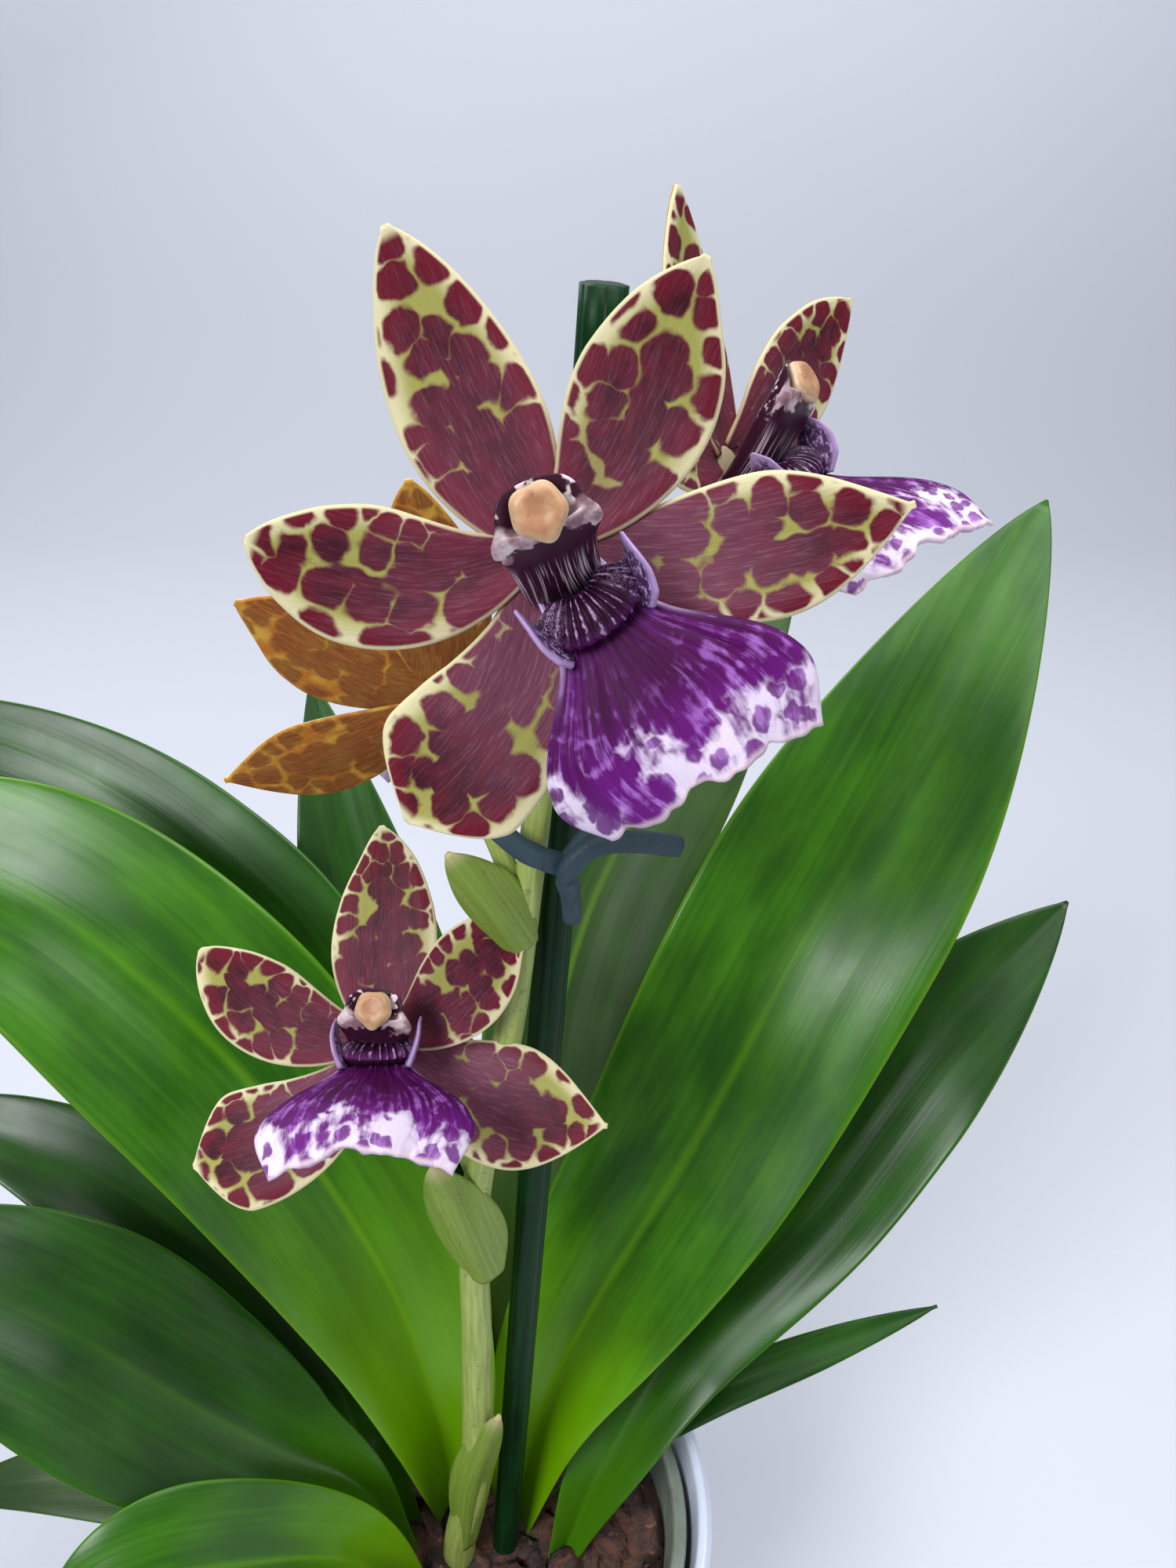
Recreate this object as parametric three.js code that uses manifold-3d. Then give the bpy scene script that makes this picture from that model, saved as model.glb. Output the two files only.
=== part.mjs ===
// Zygopetalum orchid in flower, growing in its pot.
// Units are millimetres, +Z is up, and the origin is the middle of the pot's flat underside.
// A white cover pot holds a thin grow pot filled with bark. Eleven leaves and two older
// pseudobulbs stand in the bark round a flower spike, which is held to a stake by a soft tie
// and carries four blooms.

import * as THREE from 'three';
import { mergeVertices } from 'three/addons/utils/BufferGeometryUtils.js';
import Module from 'manifold-3d';

const wasm = await Module();
wasm.setup();
const { Manifold, Mesh: SolidMesh } = wasm;

// ---------------------------------------------------------------- driving dimensions

const CLEARANCE = 0.3;          // gap kept between pieces that touch
const HOLE_CLEARANCE = 0.4;     // gap round whatever stands in the bark

const COVER_POT = { height: 108, rimRadius: 59, footRadius: 45, wall: 2.6, bead: 2, floor: 3 };
const GROW_POT = { height: 102, rimRadius: 52.6, footRadius: 38, wall: 1.4, lip: 2, floor: 1.5 };
const POT_SEGMENTS = 36;
const DRAIN_HOLES = { count: 5, ring: 22, radius: 4 };
const BARK_LEVEL = 90;          // surface of the bark between its chunks
const CHUNKS = { count: 34, ring: 42, long: 8, wide: 5, thick: 3.2 };    // half sizes

const STAKE = { foot: [5, -4.2, 40], top: [32, 6.5, 388], radius: 3.1, sides: 6 };

const LEAF_THICKNESS = 1.0;
const TEPAL_THICKNESS = 0.8;
const LIP_THICKNESS = 0.9;
const TIP_HALF_WIDTH = 0.45;    // narrowest half width of any blade
const SLIVER = 0.06;            // detail smaller than this is dropped after a join

// Leaves and blooms turn their upper faces to the light, a point in front of the plant.
const LIGHT = new THREE.Vector3(30, -147, 415);

// ---------------------------------------------------------------- small helpers

const vec = (p) => new THREE.Vector3(p[0], p[1], p[2]);
const radians = THREE.MathUtils.degToRad;
const clamp01 = (x) => Math.min(1, Math.max(0, x));

function spline(points) {
  return new THREE.CatmullRomCurve3(points.map(vec), false, 'catmullrom', 0.5);
}

// A repeatable random number source.
function seeded(seed) {
  let state = seed;
  return () => {
    state = (state * 1664525 + 1013904223) % 4294967296;
    return state / 4294967296;
  };
}

// Reads a short list of evenly spaced values at s, from 0 to 1, with straight lines between them.
function sample(values, s) {
  const x = clamp01(s) * (values.length - 1);
  const i = Math.min(Math.floor(x), values.length - 2);
  return values[i] + (values[i + 1] - values[i]) * (x - i);
}

// ---------------------------------------------------------------- solids and meshes

function solid(positions, triangles) {
  const mesh = new SolidMesh({
    numProp: 3,
    vertProperties: new Float32Array(positions),
    triVerts: new Uint32Array(triangles),
  });
  mesh.merge();
  return new Manifold(mesh);
}

function solidOfGeometry(geometry) {
  const bare = geometry.clone();
  bare.deleteAttribute('normal');
  bare.deleteAttribute('uv');
  const merged = mergeVertices(bare, 1e-4);
  return solid(merged.attributes.position.array, merged.index.array);
}

function geometryOfSolid(body) {
  const mesh = body.getMesh();
  const geometry = new THREE.BufferGeometry();
  geometry.setAttribute('position', new THREE.BufferAttribute(new Float32Array(mesh.vertProperties), 3));
  geometry.setIndex(new THREE.BufferAttribute(new Uint32Array(mesh.triVerts), 1));
  return geometry;
}

// Joins bodies and drops the slivers of the join, which are far below what shows.
function united(bodies) {
  return bodies.reduce((whole, body) => whole.add(body)).simplify(SLIVER);
}

// The largest connected body, with any loose scrap of a cut left out.
function largest(body) {
  const bodies = body.decompose();
  return bodies.reduce((best, next) => (next.volume() > best.volume() ? next : best));
}

function without(body, cutters) {
  return largest(cutters.reduce((rest, cutter) => rest.subtract(cutter), body)).simplify(SLIVER);
}

// A thin body over a grid of middle points: rows run along it and columns across it.
// Both faces are the middle surface moved out along its normals, and are split alike.
function sheetSolid(grid, thickness) {
  const rows = grid.length;
  const columns = grid[0].length;
  const positions = [];
  const normalAt = (i, j) => {
    const along = grid[Math.min(i + 1, rows - 1)][j].clone().sub(grid[Math.max(i - 1, 0)][j]);
    const across = grid[i][Math.min(j + 1, columns - 1)].clone().sub(grid[i][Math.max(j - 1, 0)]);
    return across.cross(along).normalize();
  };
  for (const side of [0.5, -0.5]) {
    for (let i = 0; i < rows; i += 1) {
      for (let j = 0; j < columns; j += 1) {
        const point = grid[i][j].clone().addScaledVector(normalAt(i, j), side * thickness);
        positions.push(point.x, point.y, point.z);
      }
    }
  }
  const top = (i, j) => i * columns + j;
  const bottom = (i, j) => rows * columns + i * columns + j;
  const triangles = [];
  for (let i = 0; i < rows - 1; i += 1) {
    for (let j = 0; j < columns - 1; j += 1) {
      triangles.push(top(i, j), top(i, j + 1), top(i + 1, j + 1));
      triangles.push(top(i, j), top(i + 1, j + 1), top(i + 1, j));
      triangles.push(bottom(i, j), bottom(i + 1, j + 1), bottom(i, j + 1));
      triangles.push(bottom(i, j), bottom(i + 1, j), bottom(i + 1, j + 1));
    }
  }
  const wall = (a, b) => {
    triangles.push(top(...a), bottom(...a), bottom(...b));
    triangles.push(top(...a), bottom(...b), top(...b));
  };
  for (let i = 0; i < rows - 1; i += 1) {
    wall([i, columns - 1], [i + 1, columns - 1]);
    wall([i + 1, 0], [i, 0]);
  }
  for (let j = 0; j < columns - 1; j += 1) {
    wall([0, j], [0, j + 1]);
    wall([rows - 1, j + 1], [rows - 1, j]);
  }
  const body = solid(positions, triangles);
  return body.volume() < 0 ? solid(positions, triangles.slice().reverse()) : body;
}

// A closed body through rings of points, with its two ends closed by fans.
function ringSolid(rings) {
  const sides = rings[0].length;
  const positions = rings.flatMap((ring) => ring.flatMap((p) => [p.x, p.y, p.z]));
  const triangles = [];
  for (let i = 0; i < rings.length - 1; i += 1) {
    for (let j = 0; j < sides; j += 1) {
      const next = (j + 1) % sides;
      const a = i * sides + j;
      const b = i * sides + next;
      triangles.push(a, b, b + sides, a, b + sides, a + sides);
    }
  }
  const last = (rings.length - 1) * sides;
  for (let j = 1; j < sides - 1; j += 1) {
    triangles.push(0, j + 1, j, last, last + j, last + j + 1);
  }
  return solid(positions, triangles);
}

// A round or oval stem along a smooth path. Each radius may be a number or a pair for an oval,
// whose first axis lies across the facing direction and whose second one lies along it.
function stemSolid(points, radii, { sides = 8, steps = 8, grow = 0, facing = [0, -1, 0] } = {}) {
  const path = spline(points);
  const rings = [];
  for (let i = 0; i <= steps; i += 1) {
    const s = i / steps;
    const tangent = path.getTangent(s);
    const out = vec(facing).addScaledVector(tangent, -vec(facing).dot(tangent)).normalize();
    const across = new THREE.Vector3().crossVectors(out, tangent).normalize();
    const wide = sample(radii.map((r) => (Array.isArray(r) ? r[0] : r)), s) + grow;
    const deep = sample(radii.map((r) => (Array.isArray(r) ? r[1] : r)), s) + grow;
    const middle = path.getPoint(s);
    if (i === 0) middle.addScaledVector(tangent, -grow);
    if (i === steps) middle.addScaledVector(tangent, grow);
    const ring = [];
    for (let j = 0; j < sides; j += 1) {
      const turn = (2 * Math.PI * j) / sides;
      ring.push(middle.clone()
        .addScaledVector(across, -wide * Math.cos(turn))
        .addScaledVector(out, deep * Math.sin(turn)));
    }
    rings.push(ring);
  }
  const body = ringSolid(rings);
  return body.volume() < 0 ? ringSolid(rings.map((ring) => ring.slice().reverse())) : body;
}

// A body turned about the vertical axis from a profile of [radius, height] points.
function turnedSolid(profile) {
  const points = profile.map(([radius, height]) => new THREE.Vector2(radius, height));
  const body = solidOfGeometry(new THREE.LatheGeometry(points, POT_SEGMENTS));
  return body.rotate([90, 0, 0]);
}

// ---------------------------------------------------------------- blades

// Half width along a blade as a share of its greatest one: a quarter sine from the base up to
// the widest place, slower to swell for a greater power, then a cosine down to the tip,
// blunter for a smaller power.
function bladeProfile(s, { base, peak, tip, swell = 1 }) {
  if (s < peak) return base + (1 - base) * Math.sin((Math.PI / 2) * (s / peak)) ** swell;
  return Math.cos((Math.PI / 2) * ((s - peak) / (1 - peak))) ** tip;
}

// Middle points of a blade. The spine gives its line, the facing function the direction that its
// upper face turns to, roll turns it about the spine, fold lifts both halves out of the flat
// and wave lifts the margins in turn.
function bladeGrid(spec, rows, columns, grow = 0) {
  const path = spec.path ?? spline(spec.spine);
  const grid = [];
  for (let i = 0; i < rows; i += 1) {
    const s = i / (rows - 1);
    const middle = path.getPoint(s);
    const tangent = path.getTangent(s);
    if (i === 0) middle.addScaledVector(tangent, -grow);
    if (i === rows - 1) middle.addScaledVector(tangent, grow);
    const facing = spec.facing(middle);
    const up = facing.addScaledVector(tangent, -facing.dot(tangent)).normalize();
    const across = new THREE.Vector3().crossVectors(tangent, up);
    const roll = radians(sample(spec.roll ?? [0, 0], s));
    const rolledUp = up.clone().multiplyScalar(Math.cos(roll)).addScaledVector(across, Math.sin(roll));
    const rolledAcross = across.clone().multiplyScalar(Math.cos(roll)).addScaledVector(up, -Math.sin(roll));
    const half = Math.max((spec.width / 2) * bladeProfile(s, spec), TIP_HALF_WIDTH) + grow;
    const fold = radians(sample(spec.fold, s));
    const row = [];
    for (let j = 0; j < columns; j += 1) {
      const v = (2 * j) / (columns - 1) - 1;
      const [height, count, phase] = spec.wave ?? [0, 0, 0];
      const turn = 2 * Math.PI * (count * s + phase + 0.25 * Math.sign(v));
      const ripple = height * v * v * Math.sin(turn) * (half / (spec.width / 2));
      row.push(middle.clone()
        .addScaledVector(rolledAcross, v * half * Math.cos(fold))
        .addScaledVector(rolledUp, Math.abs(v) * half * Math.sin(fold) + ripple));
    }
    grid.push(row);
  }
  return grid;
}

// ---------------------------------------------------------------- leaves

const toLight = (point) => LIGHT.clone().sub(point).normalize();
const LEAF_FOLD = [50, 30, 14, 10, 8, 8];

// Each leaf's spine runs from its foot in the bark to its tip. Width is the greatest one, and
// base, peak and tip shape its outline.
const LEAVES = {
  leaf_right_tall: {
    spine: [[11, 4, 86], [18, 9, 130], [32, 20, 160], [54, 33, 200], [76.8, 52, 241], [104, 80, 279], [137, 119, 321]],
    width: 56, base: 0.17, peak: 0.7, tip: 0.78, roll: [-8, -3, 0], wave: [1.2, 2.2, 0.1],
  },
  leaf_right_low: {
    spine: [[22.5, -4, 86], [33, 3, 117], [52, 20, 143], [84, 38, 174], [113, 58, 207], [148, 80, 233]],
    width: 38, swell: 1.3, base: 0.24, peak: 0.73, tip: 0.85, roll: [8, -6, -2], wave: [1.4, 2.5, 0.3],
  },
  leaf_right_small: {
    spine: [[20, 8, 86], [38, 11, 112], [63, 19, 124], [91, 26, 132], [119, 32, 140]],
    width: 11, base: 0.6, peak: 0.55, tip: 0.8,
  },
  leaf_back_right: {
    spine: [[11, 13, 86], [15, 21, 129], [18, 50, 183], [29, 78, 227], [54, 108, 266], [85, 144, 301]],
    width: 42, swell: 1.6, base: 0.18, peak: 0.7, tip: 0.8,
  },
  leaf_back_left: {
    spine: [[0.5, 19, 86], [4, 23, 118], [-6, 43, 160], [-18, 68, 200], [-30, 93, 235], [-42, 124, 272]],
    width: 36, swell: 1.5, base: 0.23, peak: 0.62, tip: 0.86,
  },
  leaf_left_back: {
    spine: [[-8, 14, 86], [-8, 17.4, 128], [-21, 40, 173], [-40, 67, 218], [-70, 84, 243], [-104, 97, 258],
      [-143, 108, 264], [-181, 116, 260]],
    width: 41, swell: 1.5, base: 0.2, peak: 0.5, tip: 0.8,
  },
  leaf_left_tall: {
    spine: [[-5.5, 7, 86], [-6, 7, 134], [-16, 18, 170], [-37, 32, 206], [-60, 43, 232], [-90, 55, 254],
      [-124, 65, 262], [-160, 74, 263]],
    width: 57, base: 0.15, peak: 0.54, tip: 0.78, roll: [8, 0, 0], wave: [1.2, 2.4, 0.6],
  },
  leaf_left_middle: {
    spine: [[-15.5, 3.5, 86], [-24, 4.8, 121], [-34, 18, 132], [-53, 29, 153], [-79, 38, 173], [-110, 47, 186],
      [-143, 54, 190]],
    width: 38, swell: 1.6, base: 0.24, peak: 0.45, tip: 0.8,
  },
  leaf_left_low: {
    spine: [[-15, -3, 86], [-24, -3, 121], [-41, -3, 137], [-62, 0, 154], [-85, 5, 172], [-111, 10, 184],
      [-140, 14, 187]],
    width: 48, swell: 2.0, base: 0.17, peak: 0.6, tip: 0.8, wave: [1.5, 2.6, 0.2],
  },
  leaf_left_under: {
    spine: [[-21, 2, 86], [-31, 1, 109], [-51, 1, 118], [-77, 1, 119], [-103, 1, 117], [-135, 2, 106]],
    width: 24, swell: 1.3, base: 0.32, peak: 0.45, tip: 0.85,
  },
  leaf_front: {
    spine: [[-13, -11, 86], [-25, -19, 122], [-45, -28, 140], [-64, -35, 145], [-83, -43, 136]],
    width: 33, base: 0.3, peak: 0.6, tip: 0.7,
  },
};

function leafSolid(name, grow = 0) {
  const spec = { ...LEAVES[name], facing: toLight, fold: LEAF_FOLD };
  return sheetSolid(bladeGrid(spec, 13, 5, grow), LEAF_THICKNESS + 2 * grow);
}

// ---------------------------------------------------------------- blooms

// A bloom is made in its own frame: +Y to the dorsal sepal, +Z out of its face. Each tepal
// leaves the hub at an angle from +X. Bow and hook bend it sideways, rise and curl forwards.
const HUB = { radius: 3.6, thickness: 2.6, tepalStart: 2.5 };

const TEPALS = {
  dorsal_sepal: { angle: 85.5, length: 35, width: 16, base: 0.48, peak: 0.4, tip: 0.71, bow: 0.07, hook: 0.09,
    rise: 0, curl: 0.08 },
  petal_right: { angle: 46, length: 31, width: 16.2, base: 0.3, peak: 0.51, tip: 0.8, bow: -0.13, hook: -0.2,
    rise: 0.12, curl: 0.08 },
  petal_left: { angle: 142, length: 29.5, width: 15.5, base: 0.3, peak: 0.56, tip: 0.67, bow: 0.19, hook: 0.15,
    rise: 0.12, curl: 0.08 },
  sepal_left: { angle: 204, length: 31, width: 19.5, base: 0.26, peak: 0.74, tip: 0.9, bow: 0.2, hook: 0.19,
    rise: 0, curl: 0.05 },
  sepal_right: { angle: -15, length: 37, width: 16.2, base: 0.28, peak: 0.56, tip: 1.0, bow: -0.09, hook: -0.06,
    rise: 0.05, curl: 0.05 },
};

// Where each bloom sits and how it turns: yaw about the vertical, pitch up from level and roll
// about its own axis, in degrees. Lip pitch is how far its lip stands forward of hanging, lip
// turn and lip yaw swing it sideways, lip roll tilts it to one side, and column lift raises the
// column. Blooms of one spike differ a little, so a bloom may bend its lip or change a tepal.
const BLOOMS = {
  bloom_top: { centre: [26, -24, 365], yaw: 1.4, pitch: 21.7, roll: 26,
    lipPitch: 25, lipTurn: 10.5, lipSkew: 1.4 },
  bloom_right: { centre: [49.4, 15.4, 362], yaw: 62, pitch: 25, roll: -13,
    lipPitch: 57, lipTurn: 12, lipYaw: -14, lipRoll: -12, lipSkew: 3.5, sideDroop: 3, frontDroop: 1,
    columnLift: 14,
    tepals: { petal_right: { rise: 0.3, length: 32.5 } } },
  bloom_left: { centre: [7.8, 14.2, 325.6], yaw: 190.5, pitch: 11.6, roll: -5,
    lipPitch: 40, lipTurn: 0 },
  bloom_low: { centre: [-4, -5, 270], yaw: -5, pitch: 50, roll: 3,
    lipPitch: 66, lipTurn: 6,
    tepals: {
      dorsal_sepal: { width: 18.5, hook: 0.16 },
      petal_right: { angle: 47, length: 29, rise: 0.65, curl: 0.1 },
      petal_left: { angle: 146, length: 32 },
      sepal_left: { angle: 203, length: 33 },
      sepal_right: { width: 20 },
    } },
};

const outOfBloom = () => new THREE.Vector3(0, 0, 1);

function tepalSpec(shape) {
  const direction = new THREE.Vector3(Math.cos(radians(shape.angle)), Math.sin(radians(shape.angle)), 0);
  const sideways = new THREE.Vector3(-direction.y, direction.x, 0);
  const points = [0, 0.2, 0.4, 0.6, 0.8, 1].map((s) => {
    const along = HUB.tepalStart + shape.length * s;
    const aside = shape.length * (shape.bow * 4 * s * (1 - s) + shape.hook * s ** 4);
    const forward = shape.length * (shape.rise * s + shape.curl * s * s);
    return [direction.x * along + sideways.x * aside, direction.y * along + sideways.y * aside, forward];
  });
  return { ...shape, spine: points, facing: outOfBloom, fold: [20, 10, 6, 6, 6] };
}

function tepalsSolid(bloom, grow = 0) {
  const hub = solidOfGeometry(new THREE.SphereGeometry(HUB.radius + grow, 8, 4)
    .scale(1, 1, (HUB.thickness / 2 + grow) / (HUB.radius + grow)));
  const blades = Object.entries(TEPALS).map(([name, shape]) => {
    const spec = tepalSpec({ ...shape, ...bloom.tepals?.[name] });
    return sheetSolid(bladeGrid(spec, 8, 3, grow), TEPAL_THICKNESS + 2 * grow);
  });
  return united([hub, ...blades]);
}

// The lip is a fan on a narrow claw. Half widths are given along it, its sides and its front
// edge droop, skew pushes its right side forward, and the front edge is scalloped. A ridged,
// horseshoe callus stands across the claw, and a pointed ear rises at each side of it.
const LIP = {
  start: 3,
  length: 26,
  halfWidths: [4, 5, 5.6, 9, 13.4, 16, 16.4, 12.4],
  frontBulge: 0.8,
  sideDroop: 4.5,
  frontDroop: 5,
  scallop: 0.6,
};
const CALLUS = { ridges: 6, halfSpread: 64, radius: 5.4, back: 3.6, broad: 2.8, low: 1.2, high: 1.9, lift: 1.8 };
const EAR = { foot: 10.5, spread: 6.8, length: 6.5, width: 3.2 };

function lipPoint(a, b, { lipSkew = 0, sideDroop = LIP.sideDroop, frontDroop = LIP.frontDroop }) {
  const half = sample(LIP.halfWidths, b);
  const bulge = LIP.frontBulge * (1 - a * a) * b * b;
  const scallop = LIP.scallop * Math.sin(9 * a) * b ** 6;
  const along = LIP.start + LIP.length * b + bulge + scallop + lipSkew * a * b;
  const droop = sideDroop * a * a * b * b + frontDroop * b ** 3;
  return new THREE.Vector3(a * half, -along, -droop);
}

function lipSolid(bloom, grow = 0) {
  const rows = 8;
  const columns = 7;
  const grid = [];
  for (let i = 0; i < rows; i += 1) {
    const row = [];
    for (let j = 0; j < columns; j += 1) {
      const a = (2 * j) / (columns - 1) - 1;
      const point = lipPoint(a * (1 + grow / LIP.halfWidths[1]), i / (rows - 1), bloom);
      if (i === 0) point.y += grow;
      row.push(point);
    }
    grid.push(row);
  }
  const arc = [];
  const bumps = [];
  for (let i = 0; i < CALLUS.ridges * 2 + 1; i += 1) {
    const angle = radians(-90 + CALLUS.halfSpread * (i / CALLUS.ridges - 1));
    arc.push([CALLUS.radius * Math.cos(angle), CALLUS.radius * Math.sin(angle) - CALLUS.back, CALLUS.lift]);
    bumps.push([CALLUS.broad, i % 2 === 0 && grow === 0 ? CALLUS.low : CALLUS.high]);
  }
  const parts = [
    sheetSolid(grid, LIP_THICKNESS + 2 * grow),
    stemSolid(arc, bumps, { sides: 6, steps: grow === 0 ? bumps.length - 1 : 5, grow, facing: [0, 0, 1] }),
  ];
  for (const side of [-1, 1]) {
    const path = [
      [side * EAR.spread * 0.75, -EAR.foot, 0],
      [side * EAR.spread * 0.95, -EAR.foot * 0.76, EAR.length * 0.6],
      [side * EAR.spread, -EAR.foot * 0.5, EAR.length],
    ];
    parts.push(stemSolid(path, [[0.7, EAR.width], [0.6, EAR.width * 0.7], [0.5, 0.6]],
      { sides: 6, steps: 3, grow, facing: [0, -1, 0] }));
  }
  return united(parts)
    .rotate([0, bloom.lipRoll ?? 0, 0])
    .rotate([0, 0, bloom.lipTurn])
    .rotate([-bloom.lipPitch, 0, 0])
    .rotate([0, bloom.lipYaw ?? 0, 0])
    .translate([0, 0, 1.8]);
}

// The column leans forward over the lip, hollowed below, with a pale cap at its end.
const COLUMN = {
  spine: [[0, -3, 1.2], [0.2, -0.8, 6], [0.6, 1.8, 10.6], [1, 4.2, 14]],
  radii: [[4.6, 2.6], [4.7, 2.9], [5.2, 3], [4.5, 2.4]],
};
const ANTHER_CAP = { radii: [2.5, 2.9, 2.2], centre: [1.1, 4.4, 15.3] };

function columnSolid(bloom, grow = 0) {
  return stemSolid(COLUMN.spine, COLUMN.radii, { sides: 8, steps: 4, grow, facing: [0, -0.6, 0.8] })
    .rotate([-(bloom.columnLift ?? 0), 0, 0]);
}

function capSolid(bloom, grow = 0) {
  const [x, y, z] = ANTHER_CAP.radii;
  return solidOfGeometry(new THREE.SphereGeometry(1, 8, 6)
    .scale(x + grow, y + grow, z + grow)
    .translate(...ANTHER_CAP.centre))
    .rotate([-(bloom.columnLift ?? 0), 0, 0]);
}

// Turns a body from a bloom's own frame to where the bloom sits.
function bloomMatrix({ centre, yaw, pitch, roll }) {
  return new THREE.Matrix4().makeTranslation(...centre)
    .multiply(new THREE.Matrix4().makeRotationZ(radians(yaw)))
    .multiply(new THREE.Matrix4().makeRotationX(radians(90 - pitch)))
    .multiply(new THREE.Matrix4().makeRotationZ(radians(roll)));
}

const inBloom = (body, bloom) => body.transform(bloomMatrix(bloom).elements);

// ---------------------------------------------------------------- spike, bulbs, stake and tie

const STEM = {
  spine: [[-3, -5, 84], [-1, -5.6, 105], [4.4, -6, 138], [7, -5.8, 185], [9, -5.4, 230], [17, -4.6, 275],
    [21, -4.4, 305], [25, -4.6, 338]],
  radii: [3.9, 3.8, 3.5, 3.1, 2.7, 2.4, 2.2, 1.9],
};

// Each pedicel leaves the stem along these points and ends at the hub of its bloom.
const PEDICELS = {
  bloom_top: [[24.8, -4.6, 334], [26, -5, 347], [26.1, -12, 358]],
  bloom_right: [[24, -4.6, 326], [31, -2, 334], [36.5, 7, 343], [43, 15, 353]],
  bloom_left: [[20, -4.5, 298], [17, -3.4, 309], [13.5, 0, 317], [9.8, 6, 323]],
  bloom_low: [[10, -5.3, 234], [6, -3, 246], [-1.5, 1, 258], [-3.2, 0.5, 264]],
};
const PEDICEL_RADII = [1.5, 1.7, 2.1, 1.9];

// Boat-shaped bracts clasp the stem below the pedicels, and a longer sheath wraps its foot.
const BRACTS = [
  { spine: [[0, -8.8, 104], [3.5, -10.2, 136], [11, -9.8, 165]], width: 13, fold: 42 },
  { spine: [[10, -9.2, 211], [7.2, -10.8, 227], [2.6, -10.4, 246]], width: 17, fold: 36 },
  { spine: [[19.6, -7.4, 293], [15.4, -9.2, 303], [9.5, -8.6, 313]], width: 13, fold: 36 },
];

function spikeSolid(grow = 0) {
  const parts = [stemSolid(STEM.spine, STEM.radii, { sides: 7, steps: 15, grow })];
  for (const [name, points] of Object.entries(PEDICELS)) {
    parts.push(stemSolid([...points, BLOOMS[name].centre], PEDICEL_RADII, { sides: 6, steps: 5, grow }));
  }
  for (const bract of BRACTS) {
    const spec = { ...bract, base: 0.55, peak: 0.45, tip: 0.75, fold: [bract.fold, bract.fold, 30],
      facing: () => new THREE.Vector3(0, 1, 0) };
    parts.push(sheetSolid(bladeGrid(spec, 7, 3, grow), LEAF_THICKNESS + 2 * grow));
  }
  return united(parts);
}

// Older bulbs stand behind the leaves: swollen below the middle, with a blunt scar on top.
const BULBS = {
  pseudobulb_back: [[7, 33, 80], [6.5, 34, 101], [6, 35, 124]],
  pseudobulb_left: [[-25, 27, 80], [-26, 27.5, 98], [-27, 28, 116]],
};
const BULB_RADII = [[6, 5.2], [9, 7.4], [9.8, 8], [8.4, 7], [5.6, 4.8], [2.2, 2]];

function bulbSolid(name, grow = 0) {
  return stemSolid(BULBS[name], BULB_RADII, { sides: 12, steps: 7, grow });
}

function stakeSolid(grow = 0) {
  const { foot, top, radius, sides } = STAKE;
  const middle = foot.map((value, i) => (value + top[i]) / 2);
  return stemSolid([foot, middle, top], [radius, radius, radius], { sides, steps: 2, grow });
}

// A soft tie runs round the stem and the stake, is twisted once in front and leaves two ends.
const TIE = {
  radius: 1.7,
  sides: 6,
  loop: [[26, -8.4, 311], [20.5, -9.6, 314.5], [13.5, -6.5, 320], [9, -0.5, 322], [12.5, 7.5, 321], [23, 10.5, 317],
    [31.4, 7, 315], [32.2, 0, 315], [29, -6.5, 313]],
  ends: [[27.6, -7, 300], [27.4, -9, 306], [27, -10.2, 311], [31, -9.4, 315], [37, -7, 314], [43.5, -4, 311]],
};

function tieSolid() {
  const closed = [...TIE.loop, TIE.loop[0], TIE.loop[1]];
  const round = (points, steps) => stemSolid(points, [TIE.radius, TIE.radius],
    { sides: TIE.sides, steps, facing: [0, 0, 1] });
  return united([round(closed, 18), round(TIE.ends, 7)]);
}

// ---------------------------------------------------------------- pots and bark

const coverFloor = COVER_POT.floor;
const growFoot = coverFloor + CLEARANCE;
const growInside = growFoot + GROW_POT.floor;

// The cover pot flares to a rolled rim and has a plain flat foot.
function coverPotSolid() {
  const { height, rimRadius, footRadius, wall, bead } = COVER_POT;
  const edge = 1.5;              // bevel round the foot, outside and inside
  return turnedSolid([
    [0, 0],
    [footRadius - edge, 0],
    [footRadius, edge],
    [rimRadius, height - 2.4 * bead],
    [rimRadius + 0.7 * bead, height - 1.7 * bead],
    [rimRadius + 0.8 * bead, height - 0.8 * bead],
    [rimRadius, height],
    [rimRadius - 0.9 * bead, height - 0.4 * bead],
    [rimRadius - wall, height - 2.4 * bead],
    [footRadius - wall, coverFloor + edge],
    [footRadius - wall - edge, coverFloor],
    [0, coverFloor],
  ]);
}

// Inside radius of the grow pot at a height, where the bark lies against it.
function growRadius(z) {
  const rise = (z - growFoot) / (GROW_POT.height - growFoot);
  return GROW_POT.footRadius + (GROW_POT.rimRadius - GROW_POT.footRadius) * rise - GROW_POT.wall;
}

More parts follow.
